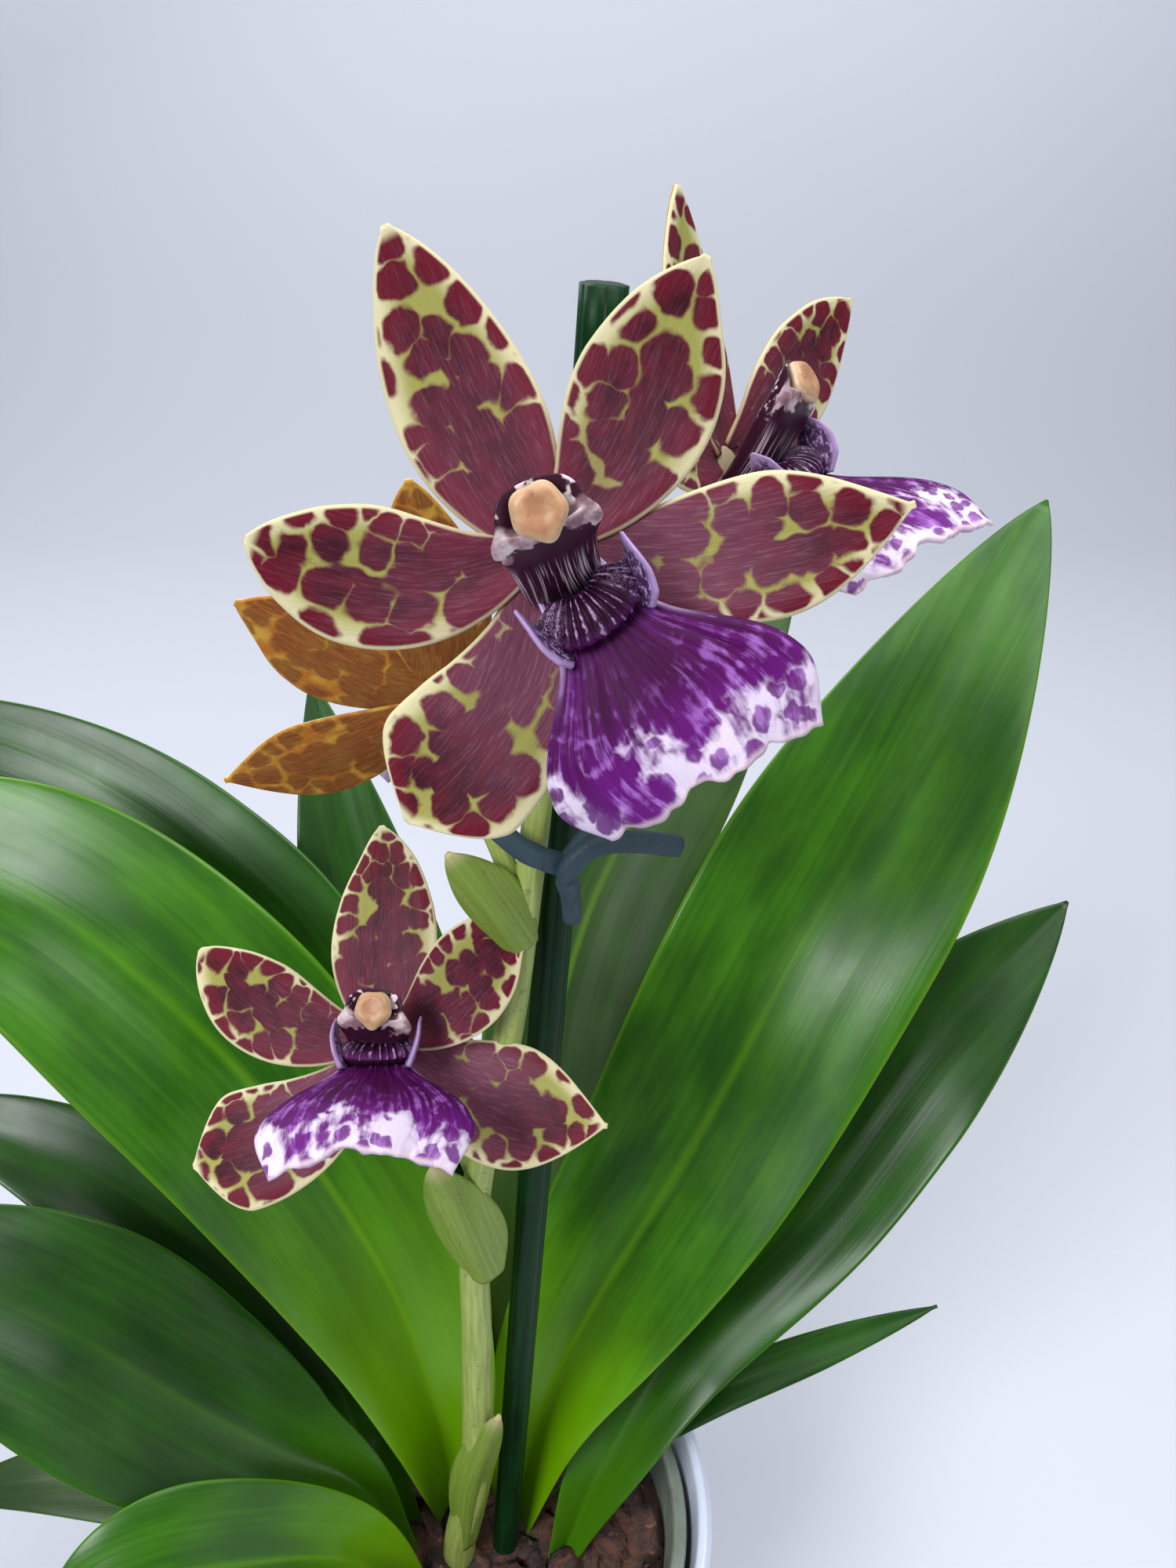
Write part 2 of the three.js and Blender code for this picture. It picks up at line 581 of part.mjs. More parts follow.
function growPotSolid() {
  const { height, rimRadius, footRadius, wall, lip } = GROW_POT;
  const under = height - lip;
  const shell = turnedSolid([
    [0, growFoot],
    [footRadius, growFoot],
    [growRadius(under) + wall, under],
    [rimRadius + lip, under],
    [rimRadius + lip, height - 0.5],
    [rimRadius + lip - 0.5, height],
    [growRadius(height), height],
    [growRadius(growInside), growInside],
    [0, growInside],
  ]);
  const holes = Array.from({ length: DRAIN_HOLES.count }, (_, i) => {
    const turn = (2 * Math.PI * i) / DRAIN_HOLES.count;
    return solidOfGeometry(new THREE.CylinderGeometry(DRAIN_HOLES.radius, DRAIN_HOLES.radius, 8, 10))
      .rotate([90, 0, 0])
      .translate([DRAIN_HOLES.ring * Math.cos(turn), DRAIN_HOLES.ring * Math.sin(turn), growFoot]);
  });
  return without(shell, holes);
}

// Bark fills the grow pot to the bark level, with chunks lying half sunk in its surface.
function barkSolid(rooms) {
  const bottom = growInside + CLEARANCE;
  const core = turnedSolid([
    [0, bottom],
    [growRadius(bottom) - CLEARANCE, bottom],
    [growRadius(BARK_LEVEL) - CLEARANCE, BARK_LEVEL],
    [0, BARK_LEVEL],
  ]);
  const random = seeded(41);
  const chunks = Array.from({ length: CHUNKS.count }, (_, i) => {
    const out = CHUNKS.ring * Math.sqrt((i + 0.5) / CHUNKS.count) - CHUNKS.long / 2;
    const turn = i * radians(137.5);
    const size = 0.75 + 0.5 * random();
    return solidOfGeometry(new THREE.BoxGeometry(
      2 * CHUNKS.long * size, 2 * CHUNKS.wide * size, 2 * CHUNKS.thick * (0.7 + 0.5 * random()),
    ))
      .rotate([50 * random() - 25, 50 * random() - 25, 360 * random()])
      .translate([out * Math.cos(turn), out * Math.sin(turn), BARK_LEVEL + random()]);
  });
  return without(united([core, ...chunks]), rooms);
}

// ---------------------------------------------------------------- export

const FINISHES = {
  white_pot: { color: 0xdfe5ee, roughness: 0.3 },
  grow_pot: { color: 0x6f7a6e, roughness: 0.4 },
  bark: { color: 0x3a2620, roughness: 0.95 },
  leaf: { color: 0x3f7a2c, roughness: 0.35 },
  bulb: { color: 0x6d8a3c, roughness: 0.45 },
  stem: { color: 0x6f8c3a, roughness: 0.5 },
  stake: { color: 0x1f4d3a, roughness: 0.4 },
  tie: { color: 0x1f3540, roughness: 0.6 },
  tepal: { color: 0x6e2a38, roughness: 0.5 },
  lip: { color: 0x6a2f9c, roughness: 0.5 },
  column: { color: 0x2f1828, roughness: 0.45 },
  cap: { color: 0xe8b48a, roughness: 0.5 },
};

const orchid = new THREE.Group();

function addPiece(name, body, finish) {
  const material = new THREE.MeshStandardMaterial({ ...FINISHES[finish], metalness: 0 });
  const mesh = new THREE.Mesh(geometryOfSolid(body), material);
  mesh.name = name;
  orchid.add(mesh);
}

const stakeRoom = stakeSolid(CLEARANCE);
const bloomRooms = [];
for (const [name, bloom] of Object.entries(BLOOMS)) {
  const tepalsRoom = tepalsSolid(bloom, CLEARANCE);
  const lip = without(lipSolid(bloom), [tepalsRoom]);
  const column = without(columnSolid(bloom), [tepalsRoom, lipSolid(bloom, CLEARANCE), capSolid(bloom, CLEARANCE)]);
  addPiece(`${name}_tepals`, inBloom(tepalsSolid(bloom), bloom), 'tepal');
  addPiece(`${name}_lip`, inBloom(lip, bloom), 'lip');
  addPiece(`${name}_column`, inBloom(column, bloom), 'column');
  addPiece(`${name}_cap`, inBloom(capSolid(bloom), bloom), 'cap');
  bloomRooms.push(inBloom(tepalsRoom, bloom));
}

addPiece('stake', stakeSolid(), 'stake');
addPiece('flower_spike', without(spikeSolid(), [...bloomRooms, stakeRoom]), 'stem');
addPiece('plant_tie', without(tieSolid(), [spikeSolid(CLEARANCE), stakeRoom]), 'tie');

const barkRooms = [stakeSolid(HOLE_CLEARANCE), spikeSolid(HOLE_CLEARANCE)];
for (const name of Object.keys(LEAVES)) {
  addPiece(name, leafSolid(name), 'leaf');
  barkRooms.push(leafSolid(name, HOLE_CLEARANCE));
}
for (const name of Object.keys(BULBS)) {
  addPiece(name, bulbSolid(name), 'bulb');
  barkRooms.push(bulbSolid(name, HOLE_CLEARANCE));
}

addPiece('cover_pot', coverPotSolid(), 'white_pot');
addPiece('grow_pot', growPotSolid(), 'grow_pot');
addPiece('potting_bark', barkSolid(barkRooms), 'bark');

export default orchid;
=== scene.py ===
# %% [markdown]
# # A zygopetalum orchid in flower, in its pot
#
# This lesson dresses a solid model of a potted orchid. The solids already hold every leaf,
# bloom and pot at its real size. Here each one gets a finer surface of the same form, worked
# out with numpy, and a finish of shader nodes that reads like the living plant.
#
# Sizes in the formulas are millimetres, because that is how one thinks about a petal. The
# last step of every piece turns them into the metres that the scene is in.

import bpy
import numpy as np
from mathutils import Matrix, Vector


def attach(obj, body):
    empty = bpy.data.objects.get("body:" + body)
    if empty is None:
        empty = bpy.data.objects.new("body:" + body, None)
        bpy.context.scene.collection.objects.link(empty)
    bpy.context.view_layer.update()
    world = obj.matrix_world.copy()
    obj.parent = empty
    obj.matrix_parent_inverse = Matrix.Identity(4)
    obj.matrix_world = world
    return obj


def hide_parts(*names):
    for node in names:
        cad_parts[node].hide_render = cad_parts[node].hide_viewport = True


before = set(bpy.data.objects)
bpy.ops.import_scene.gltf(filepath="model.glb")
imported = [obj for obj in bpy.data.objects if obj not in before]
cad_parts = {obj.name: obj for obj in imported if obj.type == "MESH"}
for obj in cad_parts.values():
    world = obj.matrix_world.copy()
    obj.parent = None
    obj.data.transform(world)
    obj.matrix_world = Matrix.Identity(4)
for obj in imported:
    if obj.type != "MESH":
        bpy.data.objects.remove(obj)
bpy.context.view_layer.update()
MM = 0.001

# %% [markdown]
# ## Curves and outlines
#
# Nearly everything on a plant follows a bent line: a midrib, a stem, a pedicel. One helper
# gives points along such a line, and another gives the half width of a leaf or petal along
# its length. They could be drawn by hand as Bezier curves, but a formula keeps every blade of
# a kind alike and lets a single number make it slimmer or blunter.


# %% Curve helpers
def unit(v):
    """Each vector divided by its own length."""
    return v / np.linalg.norm(v, axis=-1, keepdims=True)


def grid(*parts):
    """Coordinates spread over all rows and columns that any of them spans, and put together."""
    return np.stack(np.broadcast_arrays(*parts), -1)


def travelled(points):
    """Length along a row of points, from 0 at the first one."""
    return np.concatenate([[0], np.cumsum(np.linalg.norm(np.diff(points, axis=0), axis=1))])


def full_turn(count):
    """Angles spaced evenly round a circle."""
    return 2 * np.pi * np.arange(count) / count


def curve(points, s):
    """Places and directions on a Catmull-Rom curve.

    Between two points b and c the place is a cubic of t whose slope at b is half of c - a and
    at c is half of d - b, where a and d are their neighbours.
    """
    p = np.asarray(points, float)
    count = len(p) - 1
    q = np.vstack([2 * p[0] - p[1], p, 2 * p[-1] - p[-2]])
    x = np.clip(s, 0, 1) * count
    i = np.minimum(x.astype(int), count - 1)
    t = (x - i)[:, None]
    a, b, c, d = q[i], q[i + 1], q[i + 2], q[i + 3]
    square, cube = 2 * a - 5 * b + 4 * c - d, 3 * b - a - 3 * c + d
    place = 0.5 * (2 * b + (c - a) * t + square * t**2 + cube * t**3)
    slope = 0.5 * ((c - a) + 2 * square * t + 3 * cube * t**2)
    return place, unit(slope)


def sample(values, s):
    """Evenly spaced values read at s, from 0 to 1, with straight lines between them."""
    return np.interp(s, np.linspace(0, 1, len(values)), values)


def ease(x, low, high):
    """0 below low, 1 above high, and a smooth step between."""
    t = np.clip((x - low) / (high - low), 0, 1)
    return t * t * (3 - 2 * t)


def outline(s, base, peak, tip, swell=1.0):
    """Half width as a share: a sine to the power swell to the peak, then a cosine to the power tip."""
    rise = base + (1 - base) * np.sin(np.pi / 2 * np.clip(s / peak, 0, 1)) ** swell
    fall = np.cos(np.pi / 2 * np.clip((s - peak) / (1 - peak), 0, 1)) ** tip
    return np.where(s < peak, rise, fall)


# %% [markdown]
# ## Patches and pieces
#
# A patch is a list of rings of points, joined ring to ring, with a strip of faces over each
# end, so it is always closed. A leaf is a patch too: its ring runs across the upper face and
# back across the lower one. Several patches make one piece, which takes the place of one
# solid.
#
# Every patch carries two UV maps. The one called size is in centimetres, so that a spot keeps
# its real size on a long petal and on a short one. The one called share runs from 0 to 1 along
# and across, so that a finish can tell the base from the tip and the middle from the margin.
# The attribute face tells the upper side from the lower one, and the attribute margin is how far
# the nearest margin of a blade is, in centimetres.


# %% Patches
CM = 10    # millimetres


def patch(rings, size, share, face=None, margin=None, finish=0):
    """Faces over rings of points, R rings of K points each, closed all round and at both ends.

    size and share hold R by K + 1 pairs, the last column being the first one come round again.
    face and margin hold a number for each point. Turned inside out if its volume is below 0.
    """
    rows, columns = rings.shape[:2]
    i, j = (index.ravel() for index in np.mgrid[0:rows - 1, 0:columns])
    corners = [[(i, j), (i, j + 1), (i + 1, j + 1), (i + 1, j)]]
    half = np.arange(columns // 2 - 1)
    back = columns - 1 - half
    ends = ((0, (half, back, back - 1, half + 1)), (rows - 1, (half, half + 1, back - 1, back)))
    for row, order in ends:
        corners.append([(np.full_like(c, row), c) for c in order])
    faces = np.vstack([np.stack([r * columns + c % columns for r, c in four], 1) for four in corners])
    maps = [np.vstack([np.stack([values[c] for c in four], 1) for four in corners])
            for values in (size, share)]
    points = rings.reshape(-1, 3)
    face = np.ones(len(points)) if face is None else face.ravel()
    margin = np.zeros(len(points)) if margin is None else margin.ravel()
    a, b, c, d = (points[faces[:, k]] for k in range(4))
    if (a * (np.cross(b, c) + np.cross(c, d))).sum() < 0:
        faces = faces[:, ::-1]
        maps = [m[:, ::-1] for m in maps]
    return dict(points=points, faces=faces, maps=maps, face=face, margin=margin, finish=finish)


# %% Pieces
def add(name, data):
    """An object of the scene for a mesh, a light or a camera."""
    made = bpy.data.objects.new(name, data)
    bpy.context.scene.collection.objects.link(made)
    return made


def make_piece(node, patches, finishes):
    """One mesh of several patches, in metres, that stands for a solid of the model."""
    name = f"{node}_fine"
    starts = np.cumsum([0] + [len(p["points"]) for p in patches])
    points = np.vstack([p["points"] for p in patches]) * MM
    faces = np.vstack([p["faces"] + start for p, start in zip(patches, starts)])
    mesh = bpy.data.meshes.new(name)
    mesh.from_pydata(points.tolist(), [], faces.tolist())
    for index, title in enumerate(("size", "share")):
        values = np.vstack([p["maps"][index] for p in patches]).astype(np.float32)
        mesh.uv_layers.new(name=title).data.foreach_set("uv", values.ravel())
    for title in ("face", "margin"):
        values = np.concatenate([p[title] for p in patches]).astype(np.float32)
        mesh.attributes.new(title, "FLOAT", "POINT").data.foreach_set("value", values)
    mesh.polygons.foreach_set("use_smooth", np.ones(len(faces), bool))
    which = np.concatenate([np.full(len(p["faces"]), p["finish"]) for p in patches])
    mesh.polygons.foreach_set("material_index", which.astype(np.int32))
    for finish in finishes:
        mesh.materials.append(finish)
    mesh.update()
    piece = add(name, mesh)
    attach(piece, "root")
    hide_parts(node)
    print(f"{name}: {len(points)} points, {2 * len(faces)} triangles")


# %% [markdown]
# ## Blades
#
# A leaf, a sepal and a bract are all blades. A blade follows its midrib, turns its face to a
# given direction, folds along the midrib like a shallow V and tapers to a thin margin. It could be
# a flat plane bent with modifiers, but then the midrib and margins would be hard to place
# exactly. Here the whole blade is one function of two numbers: s along it and v across it.

# %% Blade surface
LEAF_THICKNESS = 1.0
TEPAL_THICKNESS = 0.8
TIP_HALF_WIDTH = 0.45
MARGIN_THICKNESS = 0.22    # share of the thickness that is left at a margin
CROWD_TO_MARGIN = 0.85     # power that draws the columns of points towards the margins


def blade_middle(spec, s, v):
    """Middle surface of a blade.

    Place on the midrib, plus v times the half width across, plus a lift that grows with |v|
    through a rounded V, plus a ripple that grows with v squared.
    """
    place, along = curve(spec["spine"], s)
    facing = spec["facing"](place)
    up = unit(facing - (facing * along).sum(1, keepdims=True) * along)
    across = np.cross(along, up)
    roll = np.radians(sample(spec.get("roll", [0, 0]), s))[:, None]
    up, across = up * np.cos(roll) + across * np.sin(roll), across * np.cos(roll) - up * np.sin(roll)
    shape = outline(s, spec["base"], spec["peak"], spec["tip"], spec.get("swell", 1.0))
    half = np.maximum(spec["width"] / 2 * shape, TIP_HALF_WIDTH)[:, None]
    fold = np.radians(sample(spec["fold"], s))[:, None]
    round_off = spec.get("valley", 0.12)
    valley = np.sqrt(v**2 + round_off**2) - round_off
    height, count, phase = spec.get("wave", (0, 0, 0))
    turn = 2 * np.pi * (count * s[:, None] + phase + 0.25 * np.sign(v))
    ripple = height * v**2 * np.sin(turn) * half / (spec["width"] / 2)
    lift = valley * half * np.sin(fold) + ripple
    if "relief" in spec:
        lift = lift + spec["relief"](s[:, None], v, half)
    middle = place[:, None] + across[:, None] * (v * half * np.cos(fold))[..., None]
    return middle + up[:, None] * lift[..., None], half


def sheet_patch(middle, thickness, size, share, margin=None, finish=0):
    """A closed sheet: the middle surface moved out along its normals, thinner towards its margins."""
    columns = middle.shape[1]
    along = np.gradient(middle, axis=0)
    across = np.gradient(middle, axis=1)
    normal = unit(np.cross(across, along))
    v = np.linspace(-1, 1, columns)
    body = MARGIN_THICKNESS + (1 - MARGIN_THICKNESS) * np.sqrt(np.clip(1 - v**6, 0, 1))
    out = normal * (thickness / 2 * body)[None, :, None]
    rings = np.concatenate([middle + out, (middle - out)[:, ::-1]], 1)
    face = np.concatenate([np.ones(middle.shape[:2]), np.zeros(middle.shape[:2])], 1)
    wrap = [np.concatenate([m, m[:, ::-1], m[:, :1]], 1) for m in (size, share)]
    if margin is not None:
        margin = np.concatenate([margin, margin[:, ::-1]], 1)
    return patch(rings, wrap[0], wrap[1], face, margin, finish)


def blade_patch(spec, rows, columns, thickness, shift=0.0, finish=0):
    """A blade with its UV maps; shift moves its pattern, so that no two blades are marked alike."""
    s = np.linspace(0, 1, rows)
    v = np.linspace(-1, 1, columns)
    v = (np.sign(v) * np.abs(v) ** CROWD_TO_MARGIN)[None, :]
    middle, half = blade_middle(spec, s, v)
    length = travelled(middle[:, columns // 2])[:, None]
    size = grid(length / CM + shift, v * half / CM)
    share = grid(s[:, None], (v + 1) / 2)
    return sheet_patch(middle, thickness, size, share, (1 - np.abs(v)) * half / CM, finish)


# %% [markdown]
# ## Rounds
#
# Stems, bulbs, columns and ties are round or oval all along. Their rings stand square to a
# path, and a radius may change along the path and around the ring, which makes ribs, grooves
# and hollows without any modelling by hand.


# %% Round surface
def round_rings(points, wide, deep, facing, rows, columns, shape=None, s=None):
    """Rings round a path: across by wide times cosine, out by deep times sine, times shape(s, turn)."""
    s = np.linspace(0, 1, rows) if s is None else s
    place, along = curve(points, s)
    facing = np.asarray(facing, float)
    out = unit(facing - (along @ facing)[:, None] * along)
    across = np.cross(out, along)
    turn = full_turn(columns)
    scale = 1.0 if shape is None else shape(s[:, None], turn[None, :])
    ring = -across[:, None] * (sample(wide, s)[:, None] * np.cos(turn) * scale)[..., None]
    ring = ring + out[:, None] * (sample(deep, s)[:, None] * np.sin(turn) * scale)[..., None]
    return place[:, None] + ring, s


def round_maps(rings):
    """UV maps of a round piece: length along and girth around in centimetres, and shares of both."""
    rows, columns = rings.shape[:2]
    closed = np.concatenate([rings, rings[:, :1]], 1)
    length = travelled(closed.mean(1))[:, None]
    girth = np.linalg.norm(np.diff(closed, axis=1), axis=2)
    around = np.concatenate([np.zeros((rows, 1)), np.cumsum(girth, 1)], 1)
    share = grid(length / max(length.max(), 1e-6), np.arange(columns + 1) / columns)
    return grid(length / CM, around / CM), share


def round_patch(points, wide, deep=None, facing=(0, -1, 0), rows=24, columns=20, shape=None,
                finish=0, s=None):
    """A closed round piece along a path."""
    deep = wide if deep is None else deep
    rings, _ = round_rings(points, wide, deep, facing, rows, columns, shape, s)
    return patch(rings, *round_maps(rings), finish=finish)


def turned_patch(profile, columns=144):
    """A profile of [radius, height] points carried round the vertical axis."""
    profile = np.asarray(profile, float)
    turn = full_turn(columns)
    radius, height = profile[:, 0, None], profile[:, 1, None]
    rings = grid(radius * np.cos(turn), radius * np.sin(turn), height)
    size, share = round_maps(rings)
    length = travelled(profile)[:, None]
    size[..., 0] = length / CM
    share[..., 0] = length / length[-1]
    return patch(rings, size, share)


def ball_angles(gap, rows, columns):
    """Angles from one pole to the other, a gap short of both, and angles round the axis."""
    return np.linspace(gap, np.pi - gap, rows)[:, None], full_turn(columns)


# %% [markdown]
# ## Finishes as node graphs
#
# A finish is a tree of shader nodes. Placing nodes one by one in code is long, so a small
# class adds a node, sets its numbers and links its sockets in one line. What it gives back can
# stand in a formula, so that a line of code reads like the sum it stands for. Colours go on
# like paint: a base, then coats that each cover a share of what is below. A value that is the
# same all over, such as roughness, is set on the shader itself.


# %% Colours, and values that stand in formulas
def colour(red, green, blue):
    """A screen colour, 0 to 255, as the linear one that shaders use."""
    c = np.array([red, green, blue]) / 255
    linear = np.where(c <= 0.04045, c / 12.92, ((c + 0.055) / 1.055) ** 2.4)
    return (*linear.tolist(), 1.0)


class Value:
    """An output of a node. In a formula such as 0.5 * wave + 0.1 it adds the math nodes for it."""

    def __init__(self, graph, socket):
        self.graph, self.socket = graph, socket

    def __add__(self, other):
        return self.graph.calc("ADD", self, other)

    def __sub__(self, other):
        return self.graph.calc("SUBTRACT", self, other)

    def __rsub__(self, other):
        return self.graph.calc("SUBTRACT", other, self)

    def __mul__(self, other):
        return self.graph.calc("MULTIPLY", self, other)

    def __abs__(self):
        return self.graph.calc("ABSOLUTE", self)

    __radd__, __rmul__ = __add__, __mul__


# %% Node graph helper
class Graph:
    """The nodes of one finish, with a line for each node."""

    def __init__(self, name, **constants):
        self.material = bpy.data.materials.new(name)
        self.material.use_nodes = True
        self.tree = self.material.node_tree
        self.shader = self.tree.nodes["Principled BSDF"].inputs
        for title, value in constants.items():
            self.shader[title.replace("_", " ")].default_value = value

    def put(self, target, value):
        """Links a socket to a Value, or sets it to a number or to a screen colour of three numbers."""
        if isinstance(value, Value):
            self.tree.links.new(value.socket, target)
        else:
            target.default_value = colour(*value) if isinstance(value, tuple) else value

    def node(self, kind, inputs, output=0, **settings):
        made = self.tree.nodes.new(kind)
        for title, value in settings.items():
            setattr(made, title, value)
        for title, value in inputs.items():
            self.put(made.inputs[title], value)
        return Value(self, made.outputs[output])

    def uv(self, title):
        """The u and v of a UV map."""
        both = self.node("ShaderNodeUVMap", {}, uv_map=title)
        return [self.node("ShaderNodeSeparateXYZ", {0: both}, axis) for axis in (0, 1)]

    def attribute(self, title):
        return self.node("ShaderNodeAttribute", {}, "Fac", attribute_name=title)

    def place(self):
        return self.node("ShaderNodeTexCoord", {}, "Object")

    def join(self, x=0.0, y=0.0, z=0.0):
        return self.node("ShaderNodeCombineXYZ", {0: x, 1: y, 2: z})

    def calc(self, operation, a, b=0.0, c=0.0):
        return self.node("ShaderNodeMath", {0: a, 1: b, 2: c}, operation=operation)

    def ease(self, value, low, high, start=0.0, end=1.0):
        """A smooth step of value, from start at low to end at high."""
        inputs = {"Value": value, "From Min": low, "From Max": high, "To Min": start, "To Max": end}
        return self.node("ShaderNodeMapRange", inputs, interpolation_type="SMOOTHSTEP")

    def noise(self, where, scale=1.0, detail=2.0, rough=0.5, twist=0.0):
        inputs = {"Vector": where, "Scale": scale, "Detail": detail, "Roughness": rough,
                  "Distortion": twist}
        return self.node("ShaderNodeTexNoise", inputs, "Fac")

    def cells(self, where, scale, random=1.0, feature="F1", flat=False):
        """The distance to the middle of the nearest cell or to its edge; flat for cells on a sheet."""
        inputs = {"Vector": where, "Scale": scale, "Randomness": random}
        settings = dict(feature=feature, voronoi_dimensions="2D" if flat else "3D")
        return self.node("ShaderNodeTexVoronoi", inputs, "Distance", **settings)

    def coats(self, base, *coats):
        """A base colour under coats of (share, colour): a coat covers all where its share is 1."""
        for share, tint in coats:
            base = self.node("ShaderNodeMix", {0: share, 6: base, 7: tint}, 2, data_type="RGBA")
        return base

    def bump(self, height, strength, distance):
        inputs = {"Height": height, "Strength": strength, "Distance": distance}
        self.put(self.shader["Normal"], self.node("ShaderNodeBump", inputs))

    def paint(self, base, rough=None):
        """Joins the base colour and the roughness to the shader, and gives the finished material."""
        self.put(self.shader["Base Color"], base)
        if rough is not None:
            self.put(self.shader["Roughness"], rough)
        return self.material


# %% [markdown]
# ## The finish of the sepals and petals
#
# Each sepal and petal is yellow-green with maroon blotches. Near the margin the blotches are
# round and lie apart, and towards the middle they run together until only thin yellow lines
# are left. Painting them by hand would take an image; here a pattern of cells makes them. A
# blotch lies inside the edges of its cell and inside a disc round the cell's middle, and a smooth
# minimum of the two depths rounds its corners. The lines between cells get thinner towards the
# middle and the base, and a slow noise fills some of them in. Another noise bends the cells, and
# fine lines along the blade break up the maroon. The backs are tawny, with the same blotches
# showing through.

# %% Sepal and petal finish
CRIMSON, MAROON, DEEP_MAROON = (100, 18, 36), (86, 18, 32), (50, 8, 20)
# the colour of a painted sheen on the maroon, and of the rose streaks in it
PAINTED_SHEEN_MAROON, ROSE_MAROON = (112, 62, 80), (146, 106, 124)
NET_GREEN, CREAM = (150, 148, 78), (206, 198, 158)
TAWNY, TAWNY_MARK = (166, 100, 32), (106, 48, 28)
BLOTCH_CELLS = dict(scale=2.4, random=0.85, flat=True)
LINE, RADIUS, ROUNDING = 0.03, 0.59, 0.4    # of the blotches, in cells


def tepal_finish(name, sheen):
    """Maroon cells with round corners on yellow-green, run together in the middle; a cream margin.

    inside is a depth, above 0 in a blotch; sheen is the strength of a painted sheen, which fades the
    maroon to a pale mauve rose towards the base.
    """
    g = Graph(name, Specular_IOR_Level=0.12, Subsurface_Weight=0.08, Subsurface_Scale=0.001)
    along, across = g.uv("size")
    s, _ = g.uv("share")
    margin = g.attribute("margin")
    here = g.join(along, across)
    bend_along = g.noise(here, 3.6, 1.0) - 0.5
    bend_across = g.noise(g.join(across, along, 3.0), 3.6, 1.0) - 0.5
    fine_bend = 0.035 * (g.noise(here, 14.0, 1.0) - 0.5)
    bent = g.join(along + 0.2 * bend_along + fine_bend, across + 0.2 * bend_across + fine_bend)
    distance = g.cells(bent, **BLOTCH_CELLS)
    edge = g.cells(bent, feature="DISTANCE_TO_EDGE", **BLOTCH_CELLS)
    middle = g.ease(margin, 0.15, 0.5) * g.ease(s, 0.98, 0.75)
    near_base = g.ease(s, 0.45, 0.1)
    near_margin = g.ease(margin, 0.1, 0.0)
    uneven = g.noise(here, 1.9, 1.0) - 0.5
    line = LINE + 0.5 * uneven - 0.09 * middle - 0.28 * near_base + 0.08 * near_margin
    radius = RADIUS - 0.2 * uneven + 0.3 * near_base - 0.1 * near_margin
    inside = g.calc("SMOOTH_MIN", edge - line, radius - distance, ROUNDING)
    mass = g.noise(g.join(along, across, 7.0), 2.2, 1.0) + margin - 1.06
    inside = g.calc("SMOOTH_MAX", inside, g.ease(mass, -0.03, 0.12, -0.1, 0.1), 0.05)
    rim = g.ease(margin, 0.02, 0.06) * g.ease(s, 0.985, 0.95)
    blotch = g.ease(inside, -0.09, 0.05) * rim

    grain = g.noise(g.join(3.0 * along, 34.0 * across), 1.0, 3.0, 0.65)
    cloud = g.noise(here, 2.6, 3.0, 0.6)
    # painted sheen: towards the base the maroon fades to a pale mauve rose, more on the sepals; its
    # rose streaks follow the blade's own grain
    painted_sheen = sheen * g.ease(s + 0.3 * g.ease(margin, 0.3, 0.0), 0.95, 0.3)
    streaky = g.ease(grain, 0.45, 0.8) * (0.6 * painted_sheen + 0.15)
    maroon = g.coats(DEEP_MAROON, (g.ease(cloud, 0.35, 0.65), MAROON),
                     (g.ease(margin, 0.45, 0.15, 0.0, 0.85), CRIMSON),
                     (g.ease(inside, 0.06, 0.0, 0.0, 0.4), CRIMSON),
                     (painted_sheen, PAINTED_SHEEN_MAROON), (streaky, ROSE_MAROON))
    freckle = g.ease(g.cells(here, 26.0), 0.17, 0.1)
    front = g.coats(CREAM, (g.ease(margin, 0.05, 0.35), NET_GREEN), (0.6 * near_base, (146, 118, 96)),
                    (blotch, maroon), (0.18 * freckle, (160, 92, 52)))
    back = g.coats(TAWNY, (g.ease(cloud, 0.4, 0.65), (190, 148, 56)),
                   (0.8 * g.ease(inside, -0.1, 0.1) * rim, TAWNY_MARK),
                   (g.ease(grain, 0.35, 0.75, 0.0, 0.3), (196, 144, 70)))
    g.bump(0.6 * grain + 0.25 * blotch, 0.3, 0.0004)
    return g.paint(g.coats(back, (g.attribute("face"), front)), g.ease(grain, 0.2, 0.8, 0.46, 0.6))


# the sepals' finish has the stronger painted sheen
TEPAL_FINISHES = [tepal_finish("tepal_maroon", 0.35), tepal_finish("tepal_painted_sheen", 0.9)]
print("finishes:", [finish.name for finish in TEPAL_FINISHES])

# %% [markdown]
# ## The finish of the lip
#
# The lip is the wide violet fan below the column. It is deepest along its middle, with fine
# rays from the throat, and breaks up into violet spots on white near its front edge. Discs in
# cells make the spots as well; the rays are a noise that is stretched along the lip. The callus
# has ridges, and its finish counts them with the same formula as its shape, so that each lilac
# line runs along a crest.

# %% Finish of the lip
DEEP_VIOLET, VIOLET, PALE_VIOLET = (56, 4, 50), (88, 10, 98), (158, 102, 186)
LIP_WHITE = (212, 198, 220)


